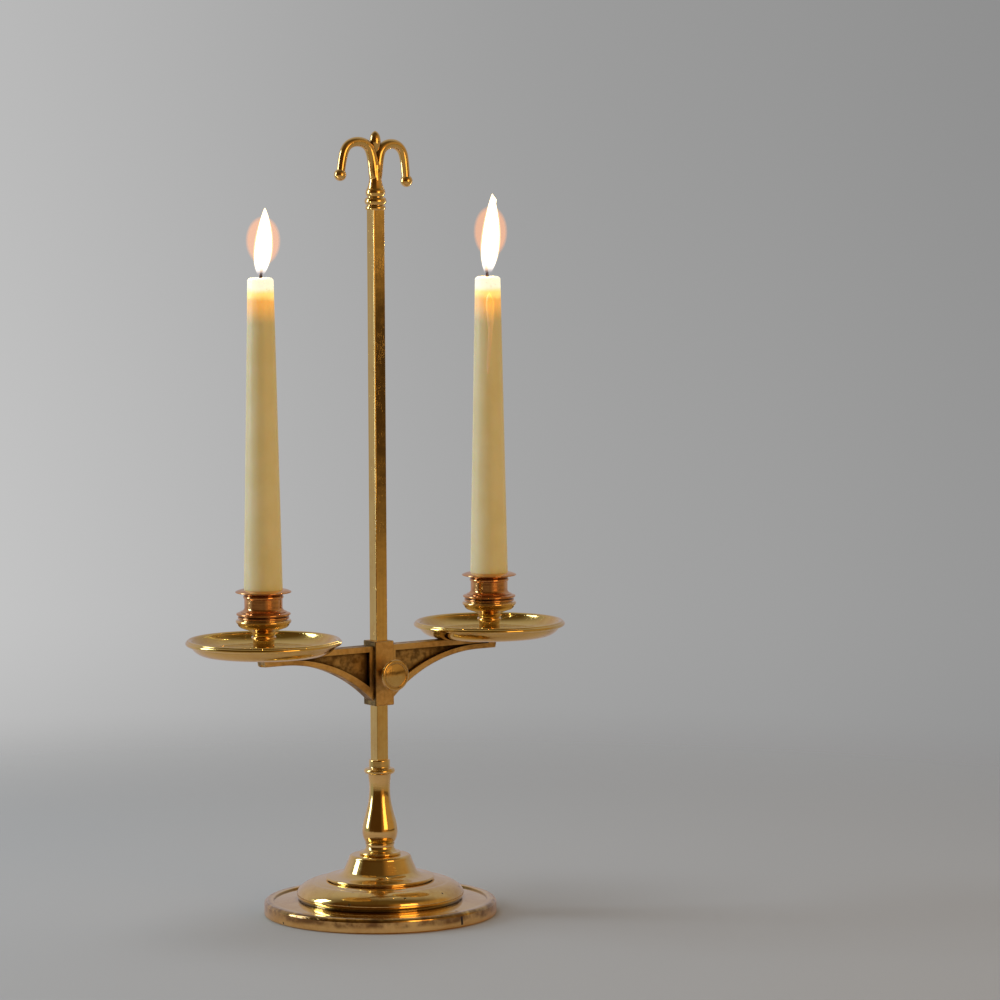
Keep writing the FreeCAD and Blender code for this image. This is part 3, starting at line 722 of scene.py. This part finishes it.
def makeWax(name, look, top):
    material, tree, shader = startMaterial(name)
    coords = addNode(tree, "TexCoord").outputs["Object"]
    height = axisOf(tree, coords, 2)
    clouds = noise(tree, coords, look["cloudScale"], 3.0)
    colour = mixed(tree, ranged(tree, clouds, 0.35, 0.7), look["wax"], look["pale"])
    tree.links.new(colour, shader.inputs["Base Color"])
    uneven = maths(tree, "MULTIPLY_ADD", noise(tree, coords, 120, 2.0), look["unevenness"], height)
    glow = look["inner"]
    depth = look["innerDepth"]
    # painted glow: emission bands that stand for the flame's light in the wax, brightest at the top
    for zone in ("amber", "honey", "molten"):
        nearer = ranged(tree, uneven, top - depth, top - waxLook[zone + "Depth"])
        glow = mixed(tree, nearer, glow, waxLook[zone])
        depth = waxLook[zone + "Depth"]
    tree.links.new(glow, shader.inputs["Emission Color"])
    shader.inputs["Emission Strength"].default_value = look["glow"]
    shader.inputs["Subsurface Weight"].default_value = look["scatterShare"]
    shader.inputs["Subsurface Radius"].default_value = look["scatter"]
    shader.inputs["Subsurface Scale"].default_value = 1.0
    shader.inputs["Specular IOR Level"].default_value = look["shine"]
    rough = ranged(tree, noise(tree, coords, 150, 4.0), 0.3, 0.7, *look["rough"])
    tree.links.new(rough, shader.inputs["Roughness"])
    drawn = noise(tree, stretched(tree, coords, (1.0, 1.0, 0.12)), look["drawScale"], 2.0)
    mottled = noise(tree, coords, look["mottleScale"], 2.0)
    relief = maths(tree, "MULTIPLY_ADD", drawn, look["drawShare"], mottled)
    bumped(tree, relief, look["relief"], shader)
    return material


for side in ("left", "right"):
    dress("candle_" + side, makeWax("wax" + side.title(), waxLook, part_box("candle_" + side)[1].z))

# A run of wax that has set down the front of the right candle
waxRun = {
    "turn": 6.0,  # degrees to the right of the camera's side
    "start": 0.009,  # below the candle's top
    "length": 0.052,
    "width": 0.0040,
    "relief": 0.00050,
    "bead": 0.0011,  # the thicker drop at its head
    "headAt": 0.07,  # shares of the length
    "headLong": 0.05,
    "footAt": 0.86,
    "footLong": 0.06,
    "footShare": 0.5,
    "sway": 0.10,
    "sunk": 0.0002,
    "back": 0.0003,  # how far its back reaches into the wax
    "rows": 60,
    "sides": 16,
}
runLook = {  # it sets pinker than the candle, and its head stays pale
    **waxLook,
    "wax": (0.88, 0.72, 0.54, 1),
    "pale": (0.90, 0.77, 0.62, 1),
    "amber": (0.60, 0.40, 0.18, 1),
    "inner": (0.13, 0.085, 0.034, 1),
}


def hump(share, middle, width):
    return math.exp(-(((share - middle) / width) ** 2))


def makeWaxRun():
    middle = candleTop("right")
    turn = math.radians(waxRun["turn"])
    points = []
    for row in range(waxRun["rows"]):
        share = row / (waxRun["rows"] - 1)
        height = middle.z - waxRun["start"] - waxRun["length"] * share
        taper = math.sin(math.pi * min(1, share * 6 + 0.02) / 2) * (1 - share**3) + 0.02
        head = hump(share, waxRun["headAt"], waxRun["headLong"])
        foot = waxRun["footShare"] * hump(share, waxRun["footAt"], waxRun["footLong"])
        relief = waxRun["relief"] * taper + waxRun["bead"] * (head + foot) * 0.6
        width = waxRun["width"] * taper * (1 + 0.25 * math.sin(share * 9)) + 0.0006 * head
        bend = turn + waxRun["sway"] * math.sin(share * 5.0)
        radius = candleRadius("right", height) - waxRun["sunk"]
        facing = fromView(math.sin(bend), -math.cos(bend), 0)
        sideways = Vector((-facing.y, facing.x, 0))
        for k in range(waxRun["sides"]):
            angle = 2 * math.pi * k / waxRun["sides"]
            across = width * math.cos(angle) / 2
            sag = radius - math.sqrt(radius * radius - across * across)
            bulge = math.sin(angle)
            out = radius - sag + (relief if bulge > 0 else waxRun["back"]) * bulge
            centre = Vector((middle.x, middle.y, height))
            points.append(centre + facing * out + sideways * across)
    faces = closedSkin(waxRun["rows"], waxRun["sides"])
    run = meshObject("wax_run", points, faces, makeWax("waxRun", runLook, middle.z))
    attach(run, "candle_right")
    return run


makeWaxRun()
print("candles dressed")

# Braided wicks, in place of the plain ones
wickLook = {
    "strands": 3,
    "twists": 2.4,
    "points": 40,
    "well": 0.0012,  # how far below the candle's top the wick comes out
    "buried": 0.004,
    "strand": 0.00052,
    "braid": 0.00048,
    "charred": (0.010, 0.006, 0.006, 1),
    "ash": (0.09, 0.05, 0.04, 1),
    "ember": (1.0, 0.42, 0.05, 1),
    "emberHeight": 0.0045,
    "emberStrength": 2.0,
    "relief": 0.0004,
}


def makeWickMaterial(name, top):
    material, tree, shader = startMaterial(name)
    coords = addNode(tree, "TexCoord").outputs["Object"]
    burnt = ranged(tree, axisOf(tree, coords, 2), top - wickLook["emberHeight"], top)
    soot = mixed(tree, noise(tree, coords, 900), wickLook["charred"], wickLook["ash"])
    tree.links.new(soot, shader.inputs["Base Color"])
    ember = mixed(tree, burnt, (0.0, 0.0, 0.0, 1), wickLook["ember"])
    tree.links.new(ember, shader.inputs["Emission Color"])
    shader.inputs["Emission Strength"].default_value = wickLook["emberStrength"]
    rough = ranged(tree, noise(tree, coords, 1500), 0.3, 0.7, 0.7, 1.0)
    tree.links.new(rough, shader.inputs["Roughness"])
    bumped(tree, noise(tree, coords, 1300, 4.0), wickLook["relief"], shader)
    return material


def makeStrandTool():  # strands wound about a leaning line, which narrows towards its top
    tree = bpy.data.node_groups.new("twistedStrands", "GeometryNodeTree")
    sockets = (
        ("Height", "Float"),
        ("Lean", "Float"),
        ("Strands", "Int"),
        ("Twists", "Float"),
        ("Points", "Int"),
        ("Braid Radius", "Float"),
        ("Strand Radius", "Float"),
        ("Place", "Vector"),
        ("Material", "Material"),
    )
    for label, kind in sockets:
        kind = "NodeSocket" + kind
        tree.interface.new_socket(name=label, in_out="INPUT", socket_type=kind)
    tree.interface.new_socket(
        name="Geometry", in_out="OUTPUT", socket_type="NodeSocketGeometry"
    )
    given = tree.nodes.new("NodeGroupInput").outputs
    result = tree.nodes.new("NodeGroupOutput").inputs

    line = tree.nodes.new("GeometryNodeCurvePrimitiveLine")
    divided = tree.nodes.new("GeometryNodeResampleCurve")
    tree.links.new(line.outputs[0], divided.inputs["Curve"])
    tree.links.new(given["Points"], divided.inputs["Count"])
    copies = tree.nodes.new("GeometryNodeDuplicateElements")
    copies.domain = "SPLINE"
    tree.links.new(divided.outputs[0], copies.inputs["Geometry"])
    tree.links.new(given["Strands"], copies.inputs["Amount"])
    share = tree.nodes.new("GeometryNodeSplineParameter").outputs["Factor"]

    phase = maths(tree, "DIVIDE", copies.outputs["Duplicate Index"], given["Strands"])
    turned = maths(tree, "MULTIPLY_ADD", share, given["Twists"], phase)
    angle = maths(tree, "MULTIPLY", turned, 2 * math.pi)
    narrow = maths(tree, "MULTIPLY_ADD", share, -0.3, 1.0)
    radius = maths(tree, "MULTIPLY", given["Braid Radius"], narrow)
    leaning = maths(tree, "MULTIPLY", given["Lean"], maths(tree, "POWER", share, 2.2))
    across = maths(tree, "MULTIPLY_ADD", maths(tree, "COSINE", angle), radius, leaning)
    away = maths(tree, "MULTIPLY", maths(tree, "SINE", angle), radius)
    up = maths(tree, "MULTIPLY", share, given["Height"])
    place = addNode(tree, "CombineXYZ")
    for value, socket in zip((across, away, up), place.inputs):
        tree.links.new(value, socket)
    shifted = addNode(tree, "VectorMath", operation="ADD")
    tree.links.new(place.outputs[0], shifted.inputs[0])
    tree.links.new(given["Place"], shifted.inputs[1])
    laid = tree.nodes.new("GeometryNodeSetPosition")
    tree.links.new(copies.outputs["Geometry"], laid.inputs["Geometry"])
    tree.links.new(shifted.outputs[0], laid.inputs["Position"])

    ring = tree.nodes.new("GeometryNodeCurvePrimitiveCircle")
    ring.inputs["Resolution"].default_value = 10
    tree.links.new(given["Strand Radius"], ring.inputs["Radius"])
    skin = tree.nodes.new("GeometryNodeCurveToMesh")
    skin.inputs["Fill Caps"].default_value = True
    tree.links.new(laid.outputs[0], skin.inputs["Curve"])
    tree.links.new(ring.outputs[0], skin.inputs["Profile Curve"])
    whole = tree.nodes.new("GeometryNodeRealizeInstances")
    tree.links.new(skin.outputs[0], whole.inputs[0])
    coloured = tree.nodes.new("GeometryNodeSetMaterial")
    tree.links.new(whole.outputs[0], coloured.inputs["Geometry"])
    tree.links.new(given["Material"], coloured.inputs["Material"])
    tree.links.new(coloured.outputs[0], result["Geometry"])
    return tree


def builtByNodes(name, tree, values):  # the tree's result as a plain mesh object
    holder = bpy.data.objects.new(name + "Holder", bpy.data.meshes.new(name + "Holder"))
    scene.collection.objects.link(holder)
    modifier = holder.modifiers.new("build", "NODES")
    modifier.node_group = tree
    for socket in tree.interface.items_tree:
        if socket.in_out == "INPUT":
            modifier[socket.identifier] = values[socket.name]
    shaped = holder.evaluated_get(bpy.context.evaluated_depsgraph_get())
    mesh = bpy.data.meshes.new_from_object(shaped)
    holder.modifiers.clear()
    bpy.data.objects.remove(holder)
    mesh.name = name
    for face in mesh.polygons:
        face.use_smooth = True
    thing = bpy.data.objects.new(name, mesh)
    scene.collection.objects.link(thing)
    return thing


def makeWick(side, tool):
    low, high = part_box("wick_" + side)
    top = candleTop(side)
    start = top.z - wickLook["well"] - wickLook["buried"]
    leansRight = high.x - top.x > top.x - low.x
    reach = max(high.x - top.x, top.x - low.x) - wickLook["strand"] - wickLook["braid"]
    values = {
        "Height": high.z - start - wickLook["strand"],
        "Lean": reach if leansRight else -reach,
        "Strands": wickLook["strands"],
        "Twists": wickLook["twists"],
        "Points": wickLook["points"],
        "Braid Radius": wickLook["braid"],
        "Strand Radius": wickLook["strand"],
        "Place": (top.x, top.y, start),
        "Material": makeWickMaterial("wick" + side.title(), high.z),
    }
    braid = builtByNodes("braid_" + side, tool, values)
    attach(braid, "candle_" + side)
    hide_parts("wick_" + side)


strandTool = makeStrandTool()
for side in ("left", "right"):
    makeWick(side, strandTool)
print("wicks braided")

# Flames: a white heart, a yellow fringe and a faint orange bloom round each
flameLook = {
    "left": {
        "height": 0.0392,
        "radius": 0.0047,
        "lean": 0.0029,
        "bloomUp": 0.0210,
        "bloom": 0.0138,
        "spur": 0.0,
    },
    "right": {
        "height": 0.0482,
        "radius": 0.0050,
        "lean": 0.0030,
        "bloomUp": 0.0262,
        "bloom": 0.0150,
        "spur": 0.0011,
    },
    "foot": 0.0004,  # above the candle's top
    "steps": 40,
    "sides": 32,
    "swell": 0.72,  # below 1 the widest place lies lower
    "blunt": 0.75,
    "spurAt": 0.925,
    "spurLong": 0.03,
    "heart": (1.0, 0.93, 0.78, 1),
    "heartStrength": 5.0,
    "base": (0.15, 0.13, 0.15, 1),  # the thin violet gas about the wick
    "thin": (0.34, 0.31, 0.28, 1),
    "fringe": (1.0, 0.76, 0.40, 1),
    "fringeGrow": 0.0008,
    "fringeStrength": 1.6,
    "fringeAlpha": 0.35,
    "bloomColour": (1.0, 0.37, 0.10, 1),
    "bloomStrength": 2.3,
    "bloomWidth": 0.0099,
    "bloomAlpha": 0.05,
    "bloomShells": (0.88, 0.94, 1.0),
    "bloomRows": 17,
    "bloomSides": 28,
}


def startGlow(name, strength):  # a material that only shines
    material, tree, shader = startMaterial(name)
    shader.inputs["Base Color"].default_value = (0, 0, 0, 1)
    shader.inputs["Roughness"].default_value = 1.0
    shader.inputs["Specular IOR Level"].default_value = 0.0
    shader.inputs["Emission Strength"].default_value = strength
    return material, tree, shader, addNode(tree, "TexCoord").outputs["Object"]


def flameMaterial(name, colour, strength, foot, top, alpha):
    material, tree, shader, coords = startGlow(name, strength)
    share = ranged(tree, axisOf(tree, coords, 2), foot, top, smooth=False)
    warm = (colour[0], colour[1] * 0.8, colour[2] * 0.5, 1)
    tone = mixed(tree, ranged(tree, share, 0.02, 0.10), flameLook["base"], flameLook["thin"])
    tone = mixed(tree, ranged(tree, share, 0.08, 0.30), tone, colour)
    tone = mixed(tree, ranged(tree, share, 0.8, 1.0), tone, warm)
    tree.links.new(tone, shader.inputs["Emission Color"])
    tree.links.new(ranged(tree, share, 0.0, 0.20, 0.0, alpha), shader.inputs["Alpha"])
    return material


def flamePoints(look, centre, foot, grow):
    lean = fromView(look["lean"], 0, 0)
    points = []
    for step in range(flameLook["steps"] + 1):
        share = 0.004 + 0.992 * step / flameLook["steps"]
        body = math.sin(math.pi * share ** flameLook["swell"]) ** flameLook["blunt"]
        radius = look["radius"] * body + grow * math.sin(math.pi * share)
        drift = lean * math.sin(share * math.pi / 2)
        middle = Vector((centre.x, centre.y, foot + look["height"] * share)) + drift
        spur = look["spur"] * hump(share, flameLook["spurAt"], flameLook["spurLong"])
        for k in range(flameLook["sides"]):
            turn = 2 * math.pi * k / flameLook["sides"]
            reach = radius + spur * max(0.0, math.cos(turn)) ** 6
            points.append(middle + fromView(reach * math.cos(turn), reach * math.sin(turn), 0))
    return points


def bloomMaterial():
    material, tree, shader, coords = startGlow("flameBloom", flameLook["bloomStrength"])
    uneven = ranged(tree, noise(tree, coords, 90, 1.0), 0.3, 0.7, 0.9, 1.0)
    shader.inputs["Emission Color"].default_value = flameLook["bloomColour"]
    alpha = maths(tree, "MULTIPLY", uneven, flameLook["bloomAlpha"])
    tree.links.new(alpha, shader.inputs["Alpha"])
    return material


def makeBloom(side, look, centre, material):
    points, faces = [], []
    rows, sides = flameLook["bloomRows"], flameLook["bloomSides"]
    for grow in flameLook["bloomShells"]:
        faces += closedSkin(rows, sides, len(points))
        for row in range(rows):
            tilt = math.pi * (row + 0.05) / (rows - 0.9) - math.pi / 2
            flat = math.cos(tilt) * flameLook["bloomWidth"] * grow
            up = math.sin(tilt) * look["bloom"] * grow
            for k in range(sides):
                turn = 2 * math.pi * k / sides
                offset = Vector((math.cos(turn) * flat, math.sin(turn) * flat, up))
                points.append(centre + offset)
    bloom = meshObject("bloom_" + side, points, faces, material)
    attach(bloom, "candle_" + side)


def makeFlame(side, bloom):
    look = flameLook[side]
    title = side.title()
    centre = candleTop(side)
    foot = centre.z + flameLook["foot"]
    top = foot + look["height"]
    faces = closedSkin(flameLook["steps"] + 1, flameLook["sides"])
    strength = flameLook["heartStrength"]
    heart = flameMaterial("flameHeart" + title, flameLook["heart"], strength, foot, top, 1.0)
    flame = meshObject("flame_" + side, flamePoints(look, centre, foot, 0.0), faces, heart)
    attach(flame, "candle_" + side)
    strength, alpha = flameLook["fringeStrength"], flameLook["fringeAlpha"]
    edge = flameMaterial("flameFringe" + title, flameLook["fringe"], strength, foot, top, alpha)
    outline = flamePoints(look, centre, foot, flameLook["fringeGrow"])
    fringe = meshObject("fringe_" + side, outline, faces, edge)
    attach(fringe, "candle_" + side)
    middle = Vector((centre.x, centre.y, centre.z + look["bloomUp"]))
    makeBloom(side, look, middle + fromView(look["lean"] * 0.6, 0, 0), bloom)


bloomGlow = bloomMaterial()
for side in ("left", "right"):
    makeFlame(side, bloomGlow)
print("flames lit")

# Floor, studio room and lamps
stageLook = {
    "floor": (0.55, 0.605, 0.665, 1),
    "floorInBrass": (0.62, 0.52, 0.50, 1),  # the warm paper that the metal mirrors
    "floorSize": 1.3,
    "fadeFrom": 0.38,  # metres from the lamp, where the paper starts to melt into the backdrop
    "fadeTo": 0.92,
    "brassFadeFrom": 0.20,  # and where the metal sees it end in the darker table
    "brassFadeTo": 0.48,
}
roomLook = {
    "dark": (0.065, 0.030, 0.008, 1),
    "warmSide": (0.46, 0.22, 0.06, 1),
    "rightWall": (0.36, 0.22, 0.085, 1),
    "rightGap": (0.055, 0.030, 0.012, 1),
    "leftWall": (0.30, 0.29, 0.23, 1),
    "ceilingFront": (0.095, 0.060, 0.022, 1),
    "ceilingBack": (0.40, 0.35, 0.30, 1),
    "backdrop": (1.0, 0.84, 0.80),
    "table": (0.30, 0.225, 0.14, 1),
}


# Each row: where a change begins and ends, and the tone at either end
backdropLook = {
    "across": (-0.19, 0.05, 0.57, 0.34),
    "farRight": (0.02, 0.15, 0.0, 0.055),
    "rise": (-0.12, 0.04, 1.06, 0.94),
    "underLeft": (-0.12, 0.08, 0.78, 0.92),
    "lowerFrom": -0.110,
    "lowerTo": -0.170,
}
# Where one part of the room goes over into the next: radians round, or the height looked at
roomEdges = {
    "warmSide": (0.1, 0.65),
    "rightWall": (0.8, 1.15),
    "gapSide": (0.7, 1.0),
    "gapFoot": (-0.12, -0.075),
    "gapHead": (-0.045, -0.025, 1.0, 0.0),
    "table": (-0.10, -0.16),
    "leftWall": (-1.15, -1.45),
    "paper": (-0.8, 0.8, 0.46, 0.33),
    "behind": (1.72, 2.2),
    "forward": (-0.5, 0.25),
    "ceiling": (0.35, 0.85),
}


def makeFloor():
    half = stageLook["floorSize"]
    material, tree, shader = startMaterial("floorPaper")
    coords = addNode(tree, "TexCoord").outputs["Object"]
    seen = addNode(tree, "LightPath").outputs["Is Camera Ray"]
    tone = mixed(tree, seen, stageLook["floorInBrass"], stageLook["floor"])
    tree.links.new(tone, shader.inputs["Base Color"])
    shader.inputs["Roughness"].default_value = 0.9
    shader.inputs["Specular IOR Level"].default_value = 0.1
    distance = addNode(tree, "VectorMath", operation="LENGTH")
    tree.links.new(coords, distance.inputs[0])
    reach = distance.outputs["Value"]
    wide = ranged(tree, reach, stageLook["fadeFrom"], stageLook["fadeTo"], 1.0, 0.0)
    near = ranged(tree, reach, stageLook["brassFadeFrom"], stageLook["brassFadeTo"], 1.0, 0.0)
    mirrored = addNode(tree, "LightPath").outputs["Is Glossy Ray"]
    tree.links.new(mixed(tree, mirrored, wide, near), shader.inputs["Alpha"])
    square = ((-half, -half), (half, -half), (half, half), (-half, half))
    corners = [fromView(x, y, 0) for x, y in square]
    meshObject("floor", corners, [(0, 1, 2, 3)], material, smooth=False)


def backdropShade(tree, right, up):  # the grey paper as the camera sees it
    shade = ranged(tree, right, *backdropLook["across"])
    shade = maths(tree, "SUBTRACT", shade, ranged(tree, right, *backdropLook["farRight"]))
    shade = maths(tree, "MULTIPLY", shade, ranged(tree, up, *backdropLook["rise"]))
    lower = ranged(tree, right, *backdropLook["underLeft"])
    under = ranged(tree, up, backdropLook["lowerFrom"], backdropLook["lowerTo"], 1.0, lower)
    return maths(tree, "MULTIPLY", shade, under)


def roomColour(tree, right, front, up):  # the room as the brass sees it
    side = maths(tree, "ARCTAN2", right, front)  # 0 towards the camera, positive to the right

    def blended(colour, value, part):
        return mixed(tree, ranged(tree, value, *roomEdges[part]), colour, roomLook[part])

    colour = blended(roomLook["dark"], side, "warmSide")
    colour = blended(colour, side, "rightWall")
    foot = ranged(tree, up, *roomEdges["gapFoot"])
    head = ranged(tree, up, *roomEdges["gapHead"])
    gap = maths(tree, "MULTIPLY", foot, head)
    gap = maths(tree, "MULTIPLY", gap, ranged(tree, side, *roomEdges["gapSide"]))
    colour = mixed(tree, gap, colour, roomLook["rightGap"])
    colour = blended(colour, up, "table")
    colour = blended(colour, side, "leftWall")
    paper = addNode(tree, "CombineColor")
    shade = ranged(tree, right, *roomEdges["paper"])
    for tint, socket in zip(roomLook["backdrop"], paper.inputs):
        tree.links.new(maths(tree, "MULTIPLY", shade, tint), socket)
    behind = ranged(tree, maths(tree, "ABSOLUTE", side), *roomEdges["behind"])
    colour = mixed(tree, behind, colour, paper.outputs[0])
    forward = ranged(tree, front, *roomEdges["forward"])
    ceiling = mixed(tree, forward, roomLook["ceilingBack"], roomLook["ceilingFront"])
    return mixed(tree, ranged(tree, up, *roomEdges["ceiling"]), colour, ceiling)


def makeWorld():
    world = bpy.data.worlds.new("studio")
    scene.world = world
    world.use_nodes = True
    tree = world.node_tree
    looking = addNode(tree, "TexCoord").outputs["Generated"]
    right = dotted(tree, looking, fromView(1, 0, 0))
    front = dotted(tree, looking, fromView(0, -1, 0))
    up = axisOf(tree, looking, 2)
    paper = addNode(tree, "CombineColor")
    shade = backdropShade(tree, right, up)
    for socket in paper.inputs:
        tree.links.new(shade, socket)
    seen = addNode(tree, "LightPath").outputs["Is Camera Ray"]
    colour = mixed(tree, seen, roomColour(tree, right, front, up), paper.outputs[0])
    background = tree.nodes["Background"]
    tree.links.new(colour, background.inputs["Color"])
    background.inputs["Strength"].default_value = 1.0


lamps = {
    "windowLeft": {
        "place": (-1.5, 0.06, 0.62),
        "width": 0.42,
        "height": 1.15,
        "power": 8.2,
        "colour": (0.92, 1.0, 1.04),
        "inBrass": True,
    },
    "warmRight": {
        "place": (1.14, -1.27, 0.50),
        "width": 0.75,
        "height": 0.85,
        "power": 4.2,
        "colour": (1.0, 0.56, 0.18),
        "inBrass": True,
    },
    "topSoft": {
        "place": (-0.3, 0.1, 1.7),
        "width": 1.4,
        "height": 1.4,
        "power": 9.0,
        "colour": (0.97, 0.99, 1.0),
        "inBrass": False,  # it lights the paper, while the brass shows the dark room
    },
}
flameLamp = {"power": 0.16, "colour": (1.0, 0.50, 0.18), "softness": 0.006, "up": 0.02}
lampAim = (0, 0, 0.2)


def makeAreaLamp(name, look):
    lamp = bpy.data.lights.new(name, "AREA")
    lamp.shape = "RECTANGLE"
    lamp.size = look["width"]
    lamp.size_y = look["height"]
    lamp.energy = look["power"]
    lamp.color = look["colour"]
    thing = bpy.data.objects.new(name, lamp)
    scene.collection.objects.link(thing)
    thing.location = fromView(*look["place"])
    thing.rotation_mode = "QUATERNION"
    thing.rotation_quaternion = (Vector(lampAim) - thing.location).to_track_quat("-Z", "Y")
    thing.visible_glossy = look["inBrass"]


def makeFlameLamp(side):
    lamp = bpy.data.lights.new("flameLamp" + side.title(), "POINT")
    lamp.energy = flameLamp["power"]
    lamp.color = flameLamp["colour"]
    lamp.shadow_soft_size = flameLamp["softness"]
    thing = bpy.data.objects.new("flameLamp" + side.title(), lamp)
    scene.collection.objects.link(thing)
    thing.location = candleTop(side) + Vector((0, 0, flameLamp["up"]))
    thing.parent = frame["bodies"]["candle_" + side]


makeFloor()
makeWorld()
for name, look in lamps.items():
    makeAreaLamp(name, look)
for side in ("left", "right"):
    makeFlameLamp(side)
print("studio lit")
